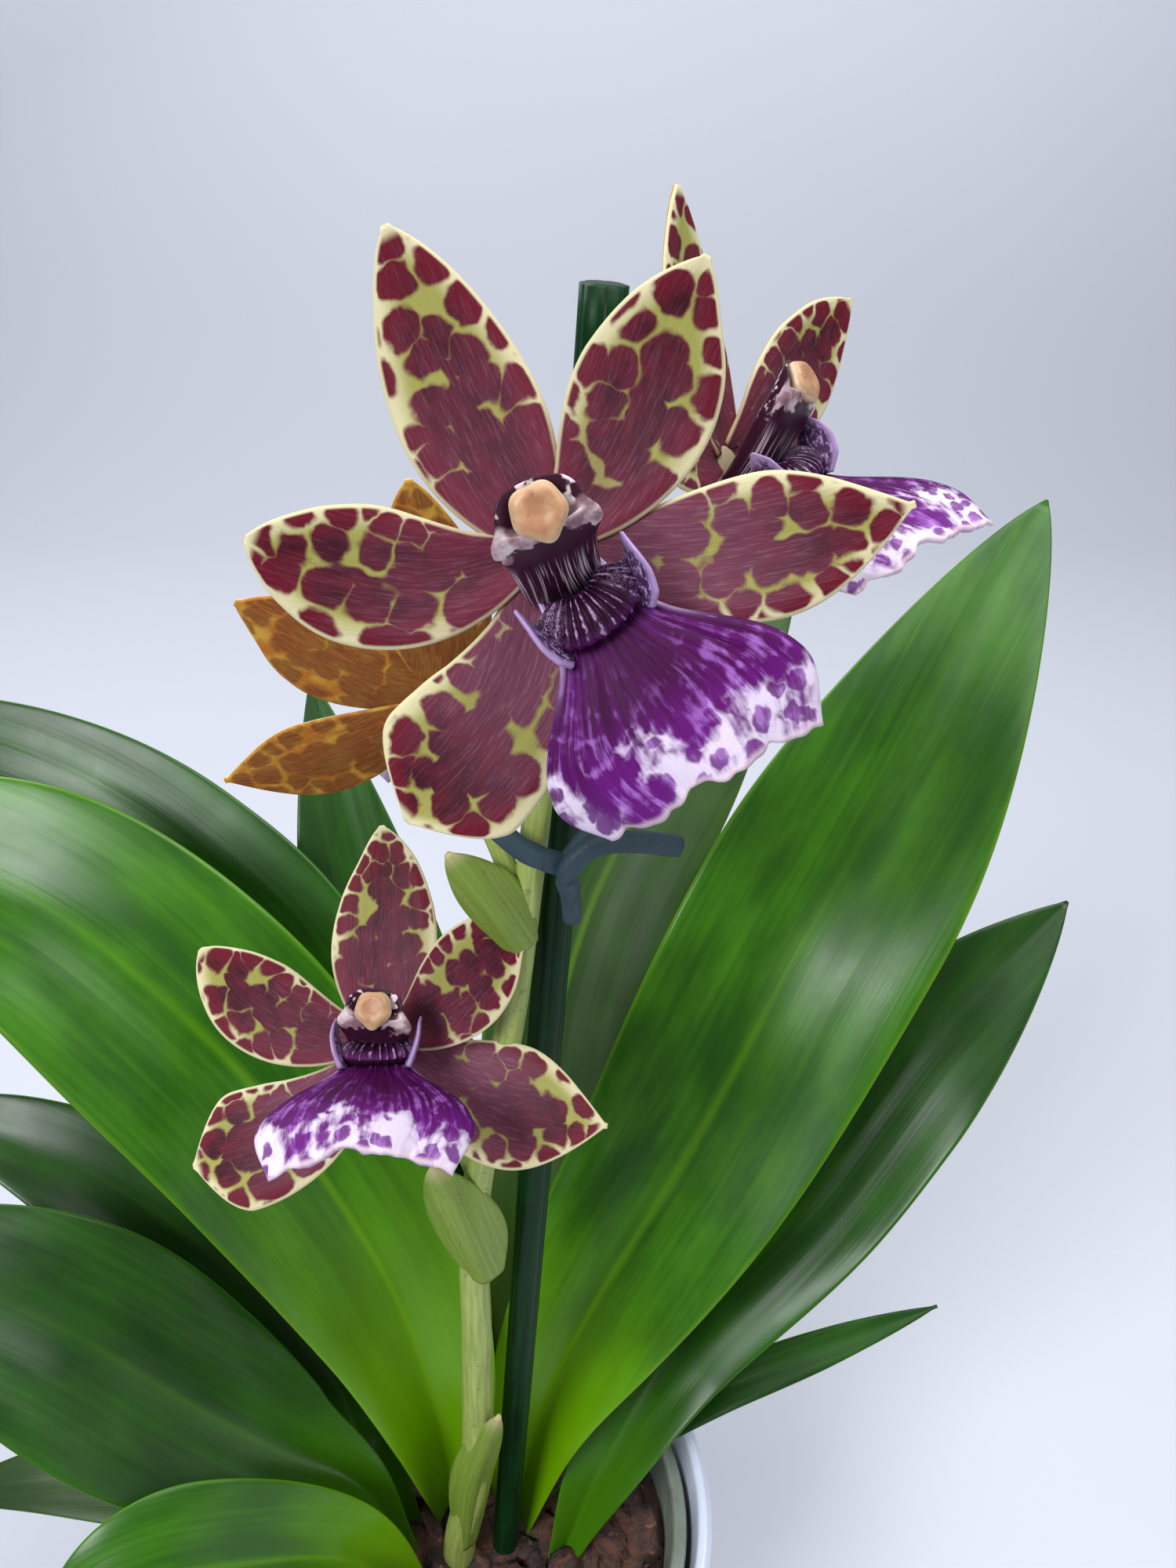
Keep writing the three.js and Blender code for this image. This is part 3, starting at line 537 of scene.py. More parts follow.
def lip_finish():
    """Violet rays on deep violet, breaking into spots on white towards the front edge."""
    g = Graph("lip_violet", Specular_IOR_Level=0.1, Subsurface_Weight=0.06, Subsurface_Scale=0.001)
    along, across = g.uv("size")
    s, v = g.uv("share")
    here = g.join(along, across)
    side = 2.0 * v - 1.0
    off_middle = abs(side)
    bend = 0.22 * (g.noise(here, 5.0) - 0.5)
    bent = g.join(along + bend, across - bend)
    ray = g.noise(g.join(3.0 * s, 26.0 * v), 1.0, 4.0, 0.65)
    drift = g.noise(here, 1.3, 1.0) - 0.5
    mottle = g.noise(bent, 4.5) - 0.5
    reach = s + 0.8 * drift + 0.5 * mottle + 0.3 * (ray - 0.5) + 0.06 * side
    white = g.ease(reach + 0.2 * g.ease(side, -0.6, -1.0), 0.8, 1.0)
    radius = 0.36 - 0.6 * drift + 0.3 * mottle
    spot = g.ease(radius - g.cells(bent, 3.3, 0.95, flat=True), -0.06, 0.07)
    outwards = g.ease(s + 0.35 * off_middle, 0.4, 1.0, 0.0, 0.85)
    front = g.coats(DEEP_VIOLET, (g.ease(ray, 0.35, 0.66), VIOLET),
                    (g.ease(off_middle, 0.7, 0.1) * g.ease(s, 0.95, 0.45, 0.0, 0.75), DEEP_VIOLET),
                    (g.ease(s, 0.55, 0.95, 0.0, 0.7), (108, 30, 128)),
                    (g.ease(ray + 0.8 * mottle, 0.48, 0.72) * outwards, PALE_VIOLET),
                    (white * (1.0 - 0.9 * spot), LIP_WHITE),
                    (g.ease(ray, 0.52, 0.66) * g.ease(s, 0.36, 0.12), (196, 172, 212)),
                    (g.ease(s, 0.965, 0.995, 0.0, 0.7), (224, 200, 210)),
                    (g.ease(off_middle, 0.86, 0.97) * g.ease(s, 0.5, 0.15), (196, 174, 214)))
    back = g.coats(LIP_WHITE, (0.45 * spot, PALE_VIOLET))
    g.bump(ray, 0.35, 0.0005)
    return g.paint(g.coats(back, (g.attribute("face"), front)), g.ease(ray, 0.2, 0.8, 0.42, 0.58))


# %% Finishes of the callus and the ears
RIDGES = 13
CROWDING = 0.016    # how far ridges shift along the callus, as a share of it


def callus_finish():
    """Broken lilac lines along the crests of a dark purple callus, mottled towards its ends."""
    g = Graph("callus_striped", Roughness=0.4, Specular_IOR_Level=0.25)
    here = g.place()
    s, v = g.uv("share")
    crowded = s + CROWDING * g.calc("SINE", 2 * np.pi * 3 * s + 1.0)
    wander = g.noise(here, 1100.0) - 0.5
    wave = g.calc("COSINE", 2 * np.pi * RIDGES * crowded + 2.6 * wander)
    stripe = g.ease(wave + 3.0 * g.noise(here, 700.0, 3.0, 0.6), 2.35, 2.75)
    mottle = abs(g.noise(here, 1500.0, 2.0, 0.5, 1.5) - 0.5)
    ends = g.ease(mottle, 0.05, 0.015) * g.ease(abs(s - 0.5), 0.2, 0.42)
    pale = g.calc("MAXIMUM", stripe, ends) * g.ease(v, 0.5, 0.36)
    g.bump(wave, 0.3, 0.0003)
    return g.paint(g.coats((44, 10, 38), (g.ease(v, 0.16, 0.0), (80, 20, 84)),
                           (0.75 * pale, (170, 138, 184))))


def ear_finish():
    """Dark violet ears, streaked with lilac, that turn pale lilac at the margin and the tip."""
    g = Graph("ear_lilac", Roughness=0.45, Specular_IOR_Level=0.3)
    s, v = g.uv("share")
    streak = g.noise(g.join(9.0 * s, 34.0 * v), 1.0, 3.0, 0.6, 0.8)
    margin = g.ease(abs(g.calc("SINE", 2 * np.pi * v)), 0.6, 0.95)
    pale = g.calc("MAXIMUM", margin, g.ease(s, 0.72, 0.95))
    dark = g.ease(streak, 0.62, 0.5) * (0.95 - 0.9 * pale)
    g.bump(g.noise(g.place(), 1200.0), 0.2, 0.0003)
    return g.paint(g.coats((172, 144, 194), (dark, (56, 14, 62))))


LIP_FINISHES = [lip_finish(), callus_finish(), ear_finish()]
print("finishes:", [finish.name for finish in LIP_FINISHES])

# %% [markdown]
# ## The finishes of the column and cap
#
# The column is nearly black and glossy, with pale marks, and the cap on it is like wax. Both
# are small, so a noise that is fixed to the object marks them well enough: a smooth step makes
# blotches of it, and the shares along and around say where they lie.


# %% Finishes of the column and the cap
def column_finish():
    """Dark purple: pale blotches round the hood, pale flaps under the cap, fine white stripes below."""
    g = Graph("column_dark", Roughness=0.36, Specular_IOR_Level=0.22)
    here = g.place()
    s, v = g.uv("share")
    from_front = abs(v - 0.25)
    below = g.ease(from_front, 0.25, 0.21)
    blotch = g.ease(g.noise(here, 620.0), 0.54, 0.62) * g.ease(s, 0.45, 0.75)
    stripe = g.ease(g.noise(g.join(1.4 * s, 100.0 * v)), 0.53, 0.6) * g.ease(s, 0.62, 0.38)
    level = s + 0.9 * from_front + 0.4 * (g.noise(here, 480.0, 3.0) - 0.5)
    flap = g.ease(level, 0.84, 0.88) * g.ease(from_front, 0.25, 0.22)
    cloud = g.ease(g.noise(here, 520.0, 3.0), 0.35, 0.65)
    flaps = g.coats((206, 188, 190), (cloud, (136, 98, 112)),
                    (g.ease(from_front, 0.08, 0.02), (110, 52, 50)))
    return g.paint(g.coats((36, 8, 26), (g.noise(here, 300.0), (64, 22, 48)),
                           (0.85 * stripe * below, (204, 184, 198)),
                           (blotch * (1.0 - below), (216, 200, 208)), (flap, flaps)))


def cap_finish():
    """Waxy, tan in the middle and cream towards the rim, with a brown scar and a fine grain; the cream
    is partly a painted highlight.
    """
    g = Graph("cap_peach", Roughness=0.45, Subsurface_Weight=0.1, Subsurface_Scale=0.001)
    here = g.place()
    s, _ = g.uv("share")
    cloud = s + 0.35 * (g.noise(here, 520.0, 3.0) - 0.5)
    scar = g.ease(g.noise(here, 780.0), 0.6, 0.68) * g.ease(s, 0.3, 0.1, 0.0, 0.5)
    g.bump(g.noise(here, 900.0), 0.25, 0.0004)
    # cream towards the rim: partly the cap's own pale wax, partly a painted highlight round its edge
    return g.paint(g.coats((166, 118, 82), (g.ease(cloud, 0.0, 0.16), (190, 150, 112)),
                           (g.ease(cloud, 0.2, 0.36), (214, 190, 158)), (scar, (138, 86, 58))))


COLUMN_FINISH, CAP_FINISH = column_finish(), cap_finish()
print("finishes:", COLUMN_FINISH.name, CAP_FINISH.name)

# %% [markdown]
# ## One bloom
#
# A bloom is modelled in its own frame, as if it were looked at face on: the dorsal sepal
# points up along Y and the face looks out along Z. Then one matrix turns and moves it to its
# place on the spike. All four blooms share these shapes, and each one only differs in how it
# is turned and in a few bends, which is how real blooms on one spike differ.

# %% Measures of the blooms
TEPALS = {
    "dorsal_sepal": dict(angle=85.5, length=35, width=16, base=0.48, peak=0.4, tip=0.71,
                         bow=0.07, hook=0.09, rise=0, curl=0.08),
    "petal_right": dict(angle=46, length=31, width=16.2, base=0.3, peak=0.51, tip=0.8,
                        bow=-0.13, hook=-0.2, rise=0.12, curl=0.08),
    "petal_left": dict(angle=142, length=29.5, width=15.5, base=0.3, peak=0.56, tip=0.67,
                       bow=0.19, hook=0.15, rise=0.12, curl=0.08),
    "sepal_left": dict(angle=204, length=31, width=19.5, base=0.26, peak=0.74, tip=0.9,
                       bow=0.2, hook=0.19, rise=0, curl=0.05),
    "sepal_right": dict(angle=-15, length=37, width=16.2, base=0.28, peak=0.56, tip=1.0,
                        bow=-0.09, hook=-0.06, rise=0.05, curl=0.05),
}
BLOOMS = {
    "bloom_top": dict(centre=(26, -24, 365), yaw=1.4, pitch=21.7, roll=26,
                      lip_pitch=25, lip_turn=10.5, skew=1.4),
    "bloom_right": dict(centre=(49.4, 15.4, 362), yaw=62, pitch=25, roll=-13, lip_pitch=57, lip_turn=12,
                        lip_yaw=-14, lip_roll=-12, skew=3.5, side_droop=3, front_droop=1,
                        column_lift=14, tepals={"petal_right": dict(rise=0.3, length=32.5)}),
    "bloom_left": dict(centre=(7.8, 14.2, 325.6), yaw=190.5, pitch=11.6, roll=-5,
                       lip_pitch=40, lip_turn=0),
    "bloom_low": dict(centre=(-4, -5, 270), yaw=-5, pitch=50, roll=3, lip_pitch=66, lip_turn=6,
                      tepals={"dorsal_sepal": dict(width=18.5, hook=0.16),
                              "petal_right": dict(angle=47, length=29, rise=0.65, curl=0.1),
                              "petal_left": dict(angle=146, length=32),
                              "sepal_left": dict(angle=203, length=33),
                              "sepal_right": dict(width=20)}),
}
print("blooms:", list(BLOOMS), "with:", list(TEPALS))

# %% Shapes of the sepals and petals
HUB = dict(radius=3.6, thickness=2.6, tepal_start=2.5)
TEPAL_FOLD = [20, 10, 6, 6, 6]


def always(*direction):
    """A facing that is the same all along a blade."""
    return lambda places: np.broadcast_to(direction, places.shape)


def tepal_relief(s, v, half):
    """Fine grooves along the blade and a slight roll back of its margins, whatever its half width."""
    grooves = 0.05 * np.cos(2 * np.pi * 4 * v) * np.sin(np.pi * s)
    return grooves - 0.35 * np.abs(v) ** 5 * np.sin(np.pi * s)


def tepal_spec(shape):
    """The spine leaves the hub at an angle; bow and hook bend it sideways, rise and curl forwards."""
    angle = np.radians(shape["angle"])
    direction = np.array([np.cos(angle), np.sin(angle), 0])
    sideways = np.array([-direction[1], direction[0], 0])
    s = np.linspace(0, 1, 6)[:, None]
    length = shape["length"]
    aside = length * (shape["bow"] * 4 * s * (1 - s) + shape["hook"] * s**4)
    forward = length * (shape["rise"] * s + shape["curl"] * s**2)
    spine = direction * (HUB["tepal_start"] + length * s) + sideways * aside
    spine = spine + np.array([0, 0, 1]) * forward
    return dict(shape, spine=spine, facing=always(0.0, 0.0, 1.0), fold=TEPAL_FOLD,
                relief=tepal_relief, valley=0.3)


def hub_patch():
    """A flattened ball: rings whose radius is a sine and whose height is a cosine.

    Its shares are those of the foot of a blade, so that the finish marks it as one.
    """
    angle, turn = ball_angles(0.06, 12, 24)
    radius = HUB["radius"] * np.sin(angle)
    rings = grid(radius * np.cos(turn), radius * np.sin(turn), HUB["thickness"] / 2 * np.cos(angle))
    size, share = round_maps(rings)
    return patch(rings, size, share * 0.1 + np.array([0.02, 0.45]))


# %% [markdown]
# ## The lip, column and cap
#
# The lip is a fan whose half width is read along its length. Its sides and front droop and its
# front edge is frilled. Across its claw stands the callus, a horseshoe collar with ridges
# like a fluted shell, and an ear rises at each end of it. The column leans over them, rounded
# above and flat below, and ends in a thin hood round the pale cap.

# %% Shape of the lip's fan
LIP = dict(start=3, length=26, half_widths=[4, 5, 5.6, 9, 13.4, 16, 16.4, 12.4], smoothing=7,
           front_bulge=0.8, side_droop=4.5, front_droop=5, scallop=0.6, thickness=0.9, forward=1.8)

def fan_patch(bloom):
    """The fan of the lip.

    A point lies a times the half width to the side and the length times b from the claw, pushed
    out in the middle of the front edge and let down at the sides and the front.
    """
    b = np.linspace(0, 1, 72)[:, None]
    a = np.linspace(1, -1, 65)[None, :]
    reach = LIP["smoothing"]
    half = np.pad(sample(LIP["half_widths"], b)[:, 0], reach, mode="edge")
    half = np.convolve(half, np.ones(2 * reach + 1) / (2 * reach + 1), "valid")[:, None]
    along = LIP["start"] + LIP["length"] * b + LIP["front_bulge"] * (1 - a**2) * b**2
    along = along + LIP["scallop"] * np.sin(9 * a) * b**6 + bloom.get("skew", 0) * a * b
    along = along + (0.22 * np.sin(19 * a + 1) + 0.16 * np.sin(33 * a)) * b**10
    droop = bloom.get("side_droop", LIP["side_droop"]) * a**2 * b**2
    droop = droop + bloom.get("front_droop", LIP["front_droop"]) * b**3
    folds = (0.4 * np.sin(5.5 * a + 2) + 0.25 * np.sin(12 * a + 1 + 3 * b)) * b**2
    pleats = 0.1 * np.sin(38 * a + 2 * np.sin(7 * a)) * np.sin(np.pi * b) * (1 - 0.5 * b)
    size = grid(along / CM + bloom["shift"], a * half / CM)
    middle = grid(a * half, -along, folds + pleats - droop)
    return sheet_patch(middle, LIP["thickness"], size, grid(b, (a + 1) / 2))


# %% Shapes of the callus and the ears
CALLUS = dict(half_spread=64, radius=5.4, back=3.6, broad=2.8, high=1.75, ridge=0.2, lift=1.8)
EAR = dict(foot=10.5, spread=6.8, length=6.5, width=3.2)


def turned(patches, matrix, shift=(0, 0, 0)):
    """The patches with their points turned by a matrix and then moved."""
    for p in patches:
        p["points"] = p["points"] @ np.array(matrix).T + np.array(shift)
    return patches


def turning(degrees, axis):
    """The matrix of a turn about an axis."""
    return Matrix.Rotation(np.radians(degrees), 3, axis)


def flutes(s, turn):
    """The ridges of the callus: the cosine that its finish counts, sharpened, and lower at its ends."""
    crowded = s + CROWDING * np.sin(2 * np.pi * 3 * s + 1)
    wave = np.abs(np.cos(np.pi * RIDGES * crowded)) ** 0.7 - 0.6
    low_end = 1 - 0.35 * np.abs(2 * s - 1) ** 4
    ridge = CALLUS["ridge"] * wave * np.clip(np.sin(turn) + 0.5, 0, 1)
    return low_end * (1 + ridge + 0.06 * np.sin(9 * s))


def lip_patches(bloom):
    """The fan, the fluted callus and the two ears, turned as they hang on this bloom."""
    t = np.linspace(0, 1, 183)
    angle = np.radians(-90 + CALLUS["half_spread"] * (2 * t - 1))
    arc = CALLUS["radius"] * grid(np.cos(angle), np.sin(angle), 0)
    arc = arc + [0, -CALLUS["back"], CALLUS["lift"]]
    patches = [fan_patch(bloom),
               round_patch(arc, [CALLUS["broad"]] * 2, [CALLUS["high"]] * 2, facing=(0, 0, 1),
                           columns=24, shape=flutes, finish=1, s=t)]
    for side in (-1, 1):
        path = [[side * EAR["spread"] * 0.75, -EAR["foot"], 0],
                [side * EAR["spread"] * 0.95, -EAR["foot"] * 0.76, EAR["length"] * 0.6],
                [side * EAR["spread"], -EAR["foot"] * 0.5, EAR["length"]]]
        wide = [0.7, 0.6, 0.5, 0.4, 0.2]
        deep = [EAR["width"] * k for k in (0.55, 0.95, 0.9, 0.6, 0.1)]
        patches.append(round_patch(path, wide, deep, rows=32, columns=24, finish=2))
    turn = turning(-bloom["lip_pitch"], "X") @ turning(bloom["lip_turn"], "Z")
    turn = turning(bloom.get("lip_yaw", 0), "Y") @ turn @ turning(bloom.get("lip_roll", 0), "Y")
    return turned(patches, turn, (0, 0, LIP["forward"]))


# %% Shapes of the column and the cap
COLUMN = dict(spine=[[0, -3, 1.2], [0.2, -0.8, 6], [0.6, 1.8, 10.6], [1, 4.2, 14]],
              wide=[4.6, 4.7, 5.2, 4.5], deep=[2.6, 2.9, 3, 2.4], facing=(0, -0.6, 0.8),
              rows=48, columns=64)
HOOD = dict(length=2.8, steps=((0.93, 0.0), (0.84, 0.35), (0.74, 1.1), (0.45, 1.7), (0.1, 1.8)))
CAP = dict(radii=(2.9, 2.9, 2.1), centre=(1.0, 4.6, 15.1))


def column_shape(s, turn):
    """Flat below, with a pointed wing at each side."""
    flat = 1 - 0.32 * ease(s, 0.1, 0.5) * np.clip(np.sin(turn), 0, 1) ** 3
    wing = ease(s, 0.6, 0.86) * (1 - 0.7 * ease(s, 0.88, 1))
    wings = sum(np.exp(-((turn - angle) / 0.25) ** 2) for angle in (0.3, np.pi - 0.3))
    return flat * (1 + 0.3 * wing * wings)


def column_patch():
    """Rounded above and flat below, with pointed wings and a thin hood that stands up round the cap."""
    outer, s = round_rings(*COLUMN.values(), column_shape)
    _, along = curve(COLUMN["spine"], s)
    above = np.clip(0.25 - np.sin(full_turn(COLUMN["columns"])), 0, 1) ** 0.6
    outer = outer + along[:, None] * (HOOD["length"] * above * ease(s, 0.72, 1)[:, None])[..., None]
    middle = outer[-1].mean(0)
    inner = [middle + (outer[-1] - middle) * k - along[-1] * d for k, d in HOOD["steps"]]
    rings = np.concatenate([outer, np.array(inner)])
    size, share = round_maps(rings)
    share[..., 0] = np.concatenate([s * 0.9, np.linspace(0.92, 1, len(inner))])[:, None]
    return patch(rings, size, share)


def cap_patch():
    """A low cushion with rounded corners, a dimple in its face and a small beak at its lower corner."""
    angle, turn = ball_angles(0.05, 40, 48)
    front = np.exp(-((turn - np.pi * 1.5) / 0.3) ** 2)
    beak = 0.06 * front * np.exp(-((angle - 1.6) / 0.35) ** 2)
    corners = (0.05 * np.cos(5 * turn + np.pi / 2) + 0.03 * np.sin(3 * turn)) * np.sin(angle) ** 2
    out = np.sin(angle) ** 0.8 * (1 + beak + corners)
    dimple = 0.34 * np.exp(-((angle / 0.55) ** 2)) + 0.1 * front * np.exp(-(((angle - 0.8) / 0.4) ** 2))
    ball = grid(out * np.cos(turn), out * np.sin(turn), np.cos(angle) * 0.8 - dimple)
    rings = ball * CAP["radii"] + CAP["centre"]
    return patch(rings, *round_maps(rings))


# %% Build the blooms
TEPAL_GRID = (72, 31)
BLOOM_SHIFT, TEPAL_SHIFT = 7.3, 61    # centimetres that the pattern moves from one to the next


def bloom_place(bloom):
    """A bloom's turn by roll, pitch and yaw, and its centre."""
    turn = turning(bloom["yaw"], "Z") @ turning(90 - bloom["pitch"], "X") @ turning(bloom["roll"], "Z")
    return turn, bloom["centre"]


for number, (name, bloom) in enumerate(BLOOMS.items()):
    bloom["shift"] = BLOOM_SHIFT * number
    lift = turning(-bloom.get("column_lift", 0), "X")
    tepals = [hub_patch()]
    for k, (title, shape) in enumerate(TEPALS.items()):
        spec = tepal_spec({**shape, **bloom.get("tepals", {}).get(title, {})})
        tepals.append(blade_patch(spec, *TEPAL_GRID, TEPAL_THICKNESS, finish=int("sepal_" in title),
                                  shift=bloom["shift"] + TEPAL_SHIFT * (k + 1)))
    parts = {
        "tepals": ("tepal", tepals, TEPAL_FINISHES),
        "lip": ("lip", lip_patches(bloom), LIP_FINISHES),
        "column": ("column", turned([column_patch()], lift), [COLUMN_FINISH]),
        "cap": ("cap", turned([cap_patch()], lift), [CAP_FINISH]),
    }
    for part, (slot, patches, finishes) in parts.items():
        make_piece(f"{name}_{part}", turned(patches, *bloom_place(bloom)), finishes)

# %% [markdown]
# ## The leaves
#
# Orchid leaves of this kind are long straps with veins that run side by side from the foot to
# the tip, so light slides along them in soft bands. The solid leaf has the right line and
# width. The fine one adds pleats, a groove along the midrib and a wavy margin. The finish does
# the rest: fine veins in colour and bump, yellow-green at the foot and a clear gloss above, and
# a paler, duller back.

# %% Leaf finish
def leaf_finish(name, deep, bright, foot, gloss, keel_highlight=0.35):
    """Side by side veins from a noise that is stretched along the leaf, over a deep to bright green."""
    g = Graph(name, Specular_IOR_Level=0.3)
    along, across = g.uv("size")
    s, v = g.uv("share")
    here = g.join(along, across)
    off_middle = abs(2.0 * v - 1.0)
    vein = g.noise(g.join(0.1 * along, 7.0 * across), 1.0, 4.0, 0.6)
    patchy = g.noise(g.join(0.35 * along, across), 0.9, 3.0)
    green = g.coats(deep, (g.ease(0.8 * patchy + 0.35 * vein, 0.4, 0.85), bright),
                    (g.ease(s, 0.45, 0.05), foot),
                    # painted highlight: a yellow-green keel along the midrib, as if lit, strongest on
                    # the dull leaves
                    (g.ease(off_middle, 0.07, 0.0) * g.ease(s, 0.95, 0.3, 0.0, keel_highlight), foot),
                    (g.ease(off_middle, 0.95, 1.0, 0.0, 0.35), foot))
    under = g.coats(green, (0.4, (112, 134, 66)))
    g.bump(vein + 0.1 * g.noise(here, 60.0), 0.12, 0.0004)
    rough = gloss + 0.14 * (g.noise(here, 1.2, 3.0) - 0.5) + 0.04 * vein
    return g.paint(g.coats(under, (g.attribute("face"), green)), rough)


LEAF_FINISHES = {
    "bright": leaf_finish("leaf_bright", (28, 76, 4), (60, 116, 8), (104, 156, 0), 0.28),
    "deep": leaf_finish("leaf_deep", (18, 54, 6), (36, 84, 10), (62, 114, 6), 0.29),
    # the dull leaves carry a strong painted highlight along their midrib
    "dull": leaf_finish("leaf_dull", (34, 62, 20), (54, 86, 30), (96, 134, 30), 0.42, 0.9),
}
print("leaf finishes:", sorted(LEAF_FINISHES))

# %% Shapes of the leaves
LIGHT = np.array([30.0, -147, 415])    # the leaves turn their faces to this place, in millimetres
LEAF_FOLD = [50, 30, 14, 10, 8, 8]
LEAF_GRID = (120, 49)
LEAF_SHIFT = 31.0    # centimetres that the pattern moves from one leaf to the next
LEAVES = {
    "leaf_right_tall": dict(
        spine=[[11, 4, 86], [18, 9, 130], [32, 20, 160], [54, 33, 200], [76.8, 52, 241],
               [104, 80, 279], [137, 119, 321]],
        width=56, base=0.17, peak=0.7, tip=0.78, roll=[-8, -3, 0], wave=(1.2, 2.2, 0.1),
        finish="bright"),
    "leaf_right_low": dict(
        spine=[[22.5, -4, 86], [33, 3, 117], [52, 20, 143], [84, 38, 174], [113, 58, 207],
               [148, 80, 233]],
        width=38, swell=1.3, base=0.24, peak=0.73, tip=0.85, roll=[8, -6, -2], wave=(1.4, 2.5, 0.3),
        finish="deep"),
    "leaf_right_small": dict(
        spine=[[20, 8, 86], [38, 11, 112], [63, 19, 124], [91, 26, 132], [119, 32, 140]],
        width=11, base=0.6, peak=0.55, tip=0.8, finish="deep"),
    "leaf_back_right": dict(
        spine=[[11, 13, 86], [15, 21, 129], [18, 50, 183], [29, 78, 227], [54, 108, 266],
               [85, 144, 301]],
        width=42, swell=1.6, base=0.18, peak=0.7, tip=0.8, finish="dull"),
    "leaf_back_left": dict(
        spine=[[0.5, 19, 86], [4, 23, 118], [-6, 43, 160], [-18, 68, 200], [-30, 93, 235],
               [-42, 124, 272]],
        width=36, swell=1.5, base=0.23, peak=0.62, tip=0.86, finish="deep"),
    "leaf_left_back": dict(
        spine=[[-8, 14, 86], [-8, 17.4, 128], [-21, 40, 173], [-40, 67, 218], [-70, 84, 243],
               [-104, 97, 258], [-143, 108, 264], [-181, 116, 260]],
        width=41, swell=1.5, base=0.2, peak=0.5, tip=0.8, finish="deep"),
    "leaf_left_tall": dict(
        spine=[[-5.5, 7, 86], [-6, 7, 134], [-16, 18, 170], [-37, 32, 206], [-60, 43, 232],
               [-90, 55, 254], [-124, 65, 262], [-160, 74, 263]],
        width=57, base=0.15, peak=0.54, tip=0.78, roll=[8, 0, 0], wave=(1.2, 2.4, 0.6),
        finish="bright"),
    "leaf_left_middle": dict(
        spine=[[-15.5, 3.5, 86], [-24, 4.8, 121], [-34, 18, 132], [-53, 29, 153], [-79, 38, 173],
               [-110, 47, 186], [-143, 54, 190]],
        width=38, swell=1.6, base=0.24, peak=0.45, tip=0.8, finish="deep"),
    "leaf_left_low": dict(
        spine=[[-15, -3, 86], [-24, -3, 121], [-41, -3, 137], [-62, 0, 154], [-85, 5, 172],
               [-111, 10, 184], [-140, 14, 187]],
        width=48, swell=2.0, base=0.17, peak=0.6, tip=0.8, wave=(1.5, 2.6, 0.2), finish="deep"),
    "leaf_left_under": dict(
        spine=[[-21, 2, 86], [-31, 1, 109], [-51, 1, 118], [-77, 1, 119], [-103, 1, 117],
               [-135, 2, 106]],
        width=24, swell=1.3, base=0.32, peak=0.45, tip=0.85, finish="dull"),
    "leaf_front": dict(
        spine=[[-13, -11, 86], [-25, -19, 122], [-45, -28, 140], [-64, -35, 145], [-83, -43, 136]],
        width=33, base=0.3, peak=0.6, tip=0.7, finish="bright"),
}


def leaf_relief(number):
    """Soft pleats side by side and slow swells along the leaf, both flat at the foot and tip."""
    p, q = np.random.default_rng(number).uniform(0, 1, 2)

    def relief(s, v, half):
        grow = np.sin(np.pi * np.clip(s, 0, 1)) ** 0.7 * half / 26
        pleats = 0.1 * np.cos(2 * np.pi * 2.5 * np.abs(v)) * (1 - 0.5 * np.abs(v))
        swells = 0.5 * np.sin(2 * np.pi * (1.6 * s + p) + 1.6 * v)
        swells = swells + 0.3 * np.sin(2 * np.pi * (3.1 * s + q) - 2.4 * v)
        return grow * (pleats + swells)

    return relief


# %% Build the leaves
for number, (name, shape) in enumerate(LEAVES.items()):
    spec = dict(shape, facing=lambda p: unit(LIGHT - p), fold=LEAF_FOLD, relief=leaf_relief(number))
    blade = blade_patch(spec, *LEAF_GRID, LEAF_THICKNESS, shift=LEAF_SHIFT * number)
    make_piece(name, [blade], [LEAF_FINISHES[shape["finish"]]])

# %% [markdown]
# ## The spike, its bracts and the old bulbs
#
# The spike is one growth: a stem, four pedicels and three boat-shaped bracts that clasp it.
# The stem is olive, the bracts are paler and papery, with brown flecks. The bulbs behind the
# leaves are last year's, ribbed and a little wrinkled.


# %% Stem, bract and bulb finishes
def stem_finish():
    """Olive green with faint streaks along and purple flecks."""
    g = Graph("stem_olive", Roughness=0.42)
    along, around = g.uv("size")
    streak = g.noise(g.join(0.8 * along, 12.0 * around), 1.0, 3.0)
    fleck = g.ease(g.noise(g.place(), 700.0), 0.62, 0.7)
    g.bump(streak, 0.3, 0.0004)
    return g.paint(g.coats((126, 146, 66), (g.ease(streak, 0.2, 0.85), (172, 186, 102)),
                           (0.35 * fleck, (96, 60, 52))))


def bract_finish():
    """Pale yellow-green, veined along, flecked with brown and dry at the tip."""
    g = Graph("bract_pale", Roughness=0.5, Subsurface_Weight=0.1, Subsurface_Scale=0.001)
    along, across = g.uv("size")
    s, _ = g.uv("share")
    vein = g.noise(g.join(0.4 * along, 14.0 * across), 1.0, 3.0)
    fleck = g.ease(g.cells(g.join(along, across), 5.0), 0.26, 0.16)
    g.bump(vein, 0.35, 0.0004)
    return g.paint(g.coats((98, 126, 30), (g.ease(vein, 0.2, 0.85), (130, 152, 60)),
                           (0.35 * fleck, (112, 82, 48)),
                           (g.ease(s, 0.86, 1.0, 0.0, 0.7), (198, 180, 136))))


def bulb_finish():
    """Mottled green and yellow-green, with brown papery scars at the top."""
    g = Graph("bulb_ribbed", Roughness=0.45)
    s, _ = g.uv("share")
    here = g.place()
    dry = g.ease(s + 0.25 * g.noise(here, 160.0, 3.0), 0.86, 1.02)
    g.bump(g.noise(here, 500.0, 3.0), 0.35, 0.0006)
    return g.paint(g.coats((84, 112, 46), (g.noise(here, 90.0, 3.0), (132, 146, 70)),
                           (dry, (136, 108, 72))))


STEM_FINISHES = [stem_finish(), bract_finish()]
BULB_FINISH = bulb_finish()
print("finishes of the spike and the bulbs are ready")

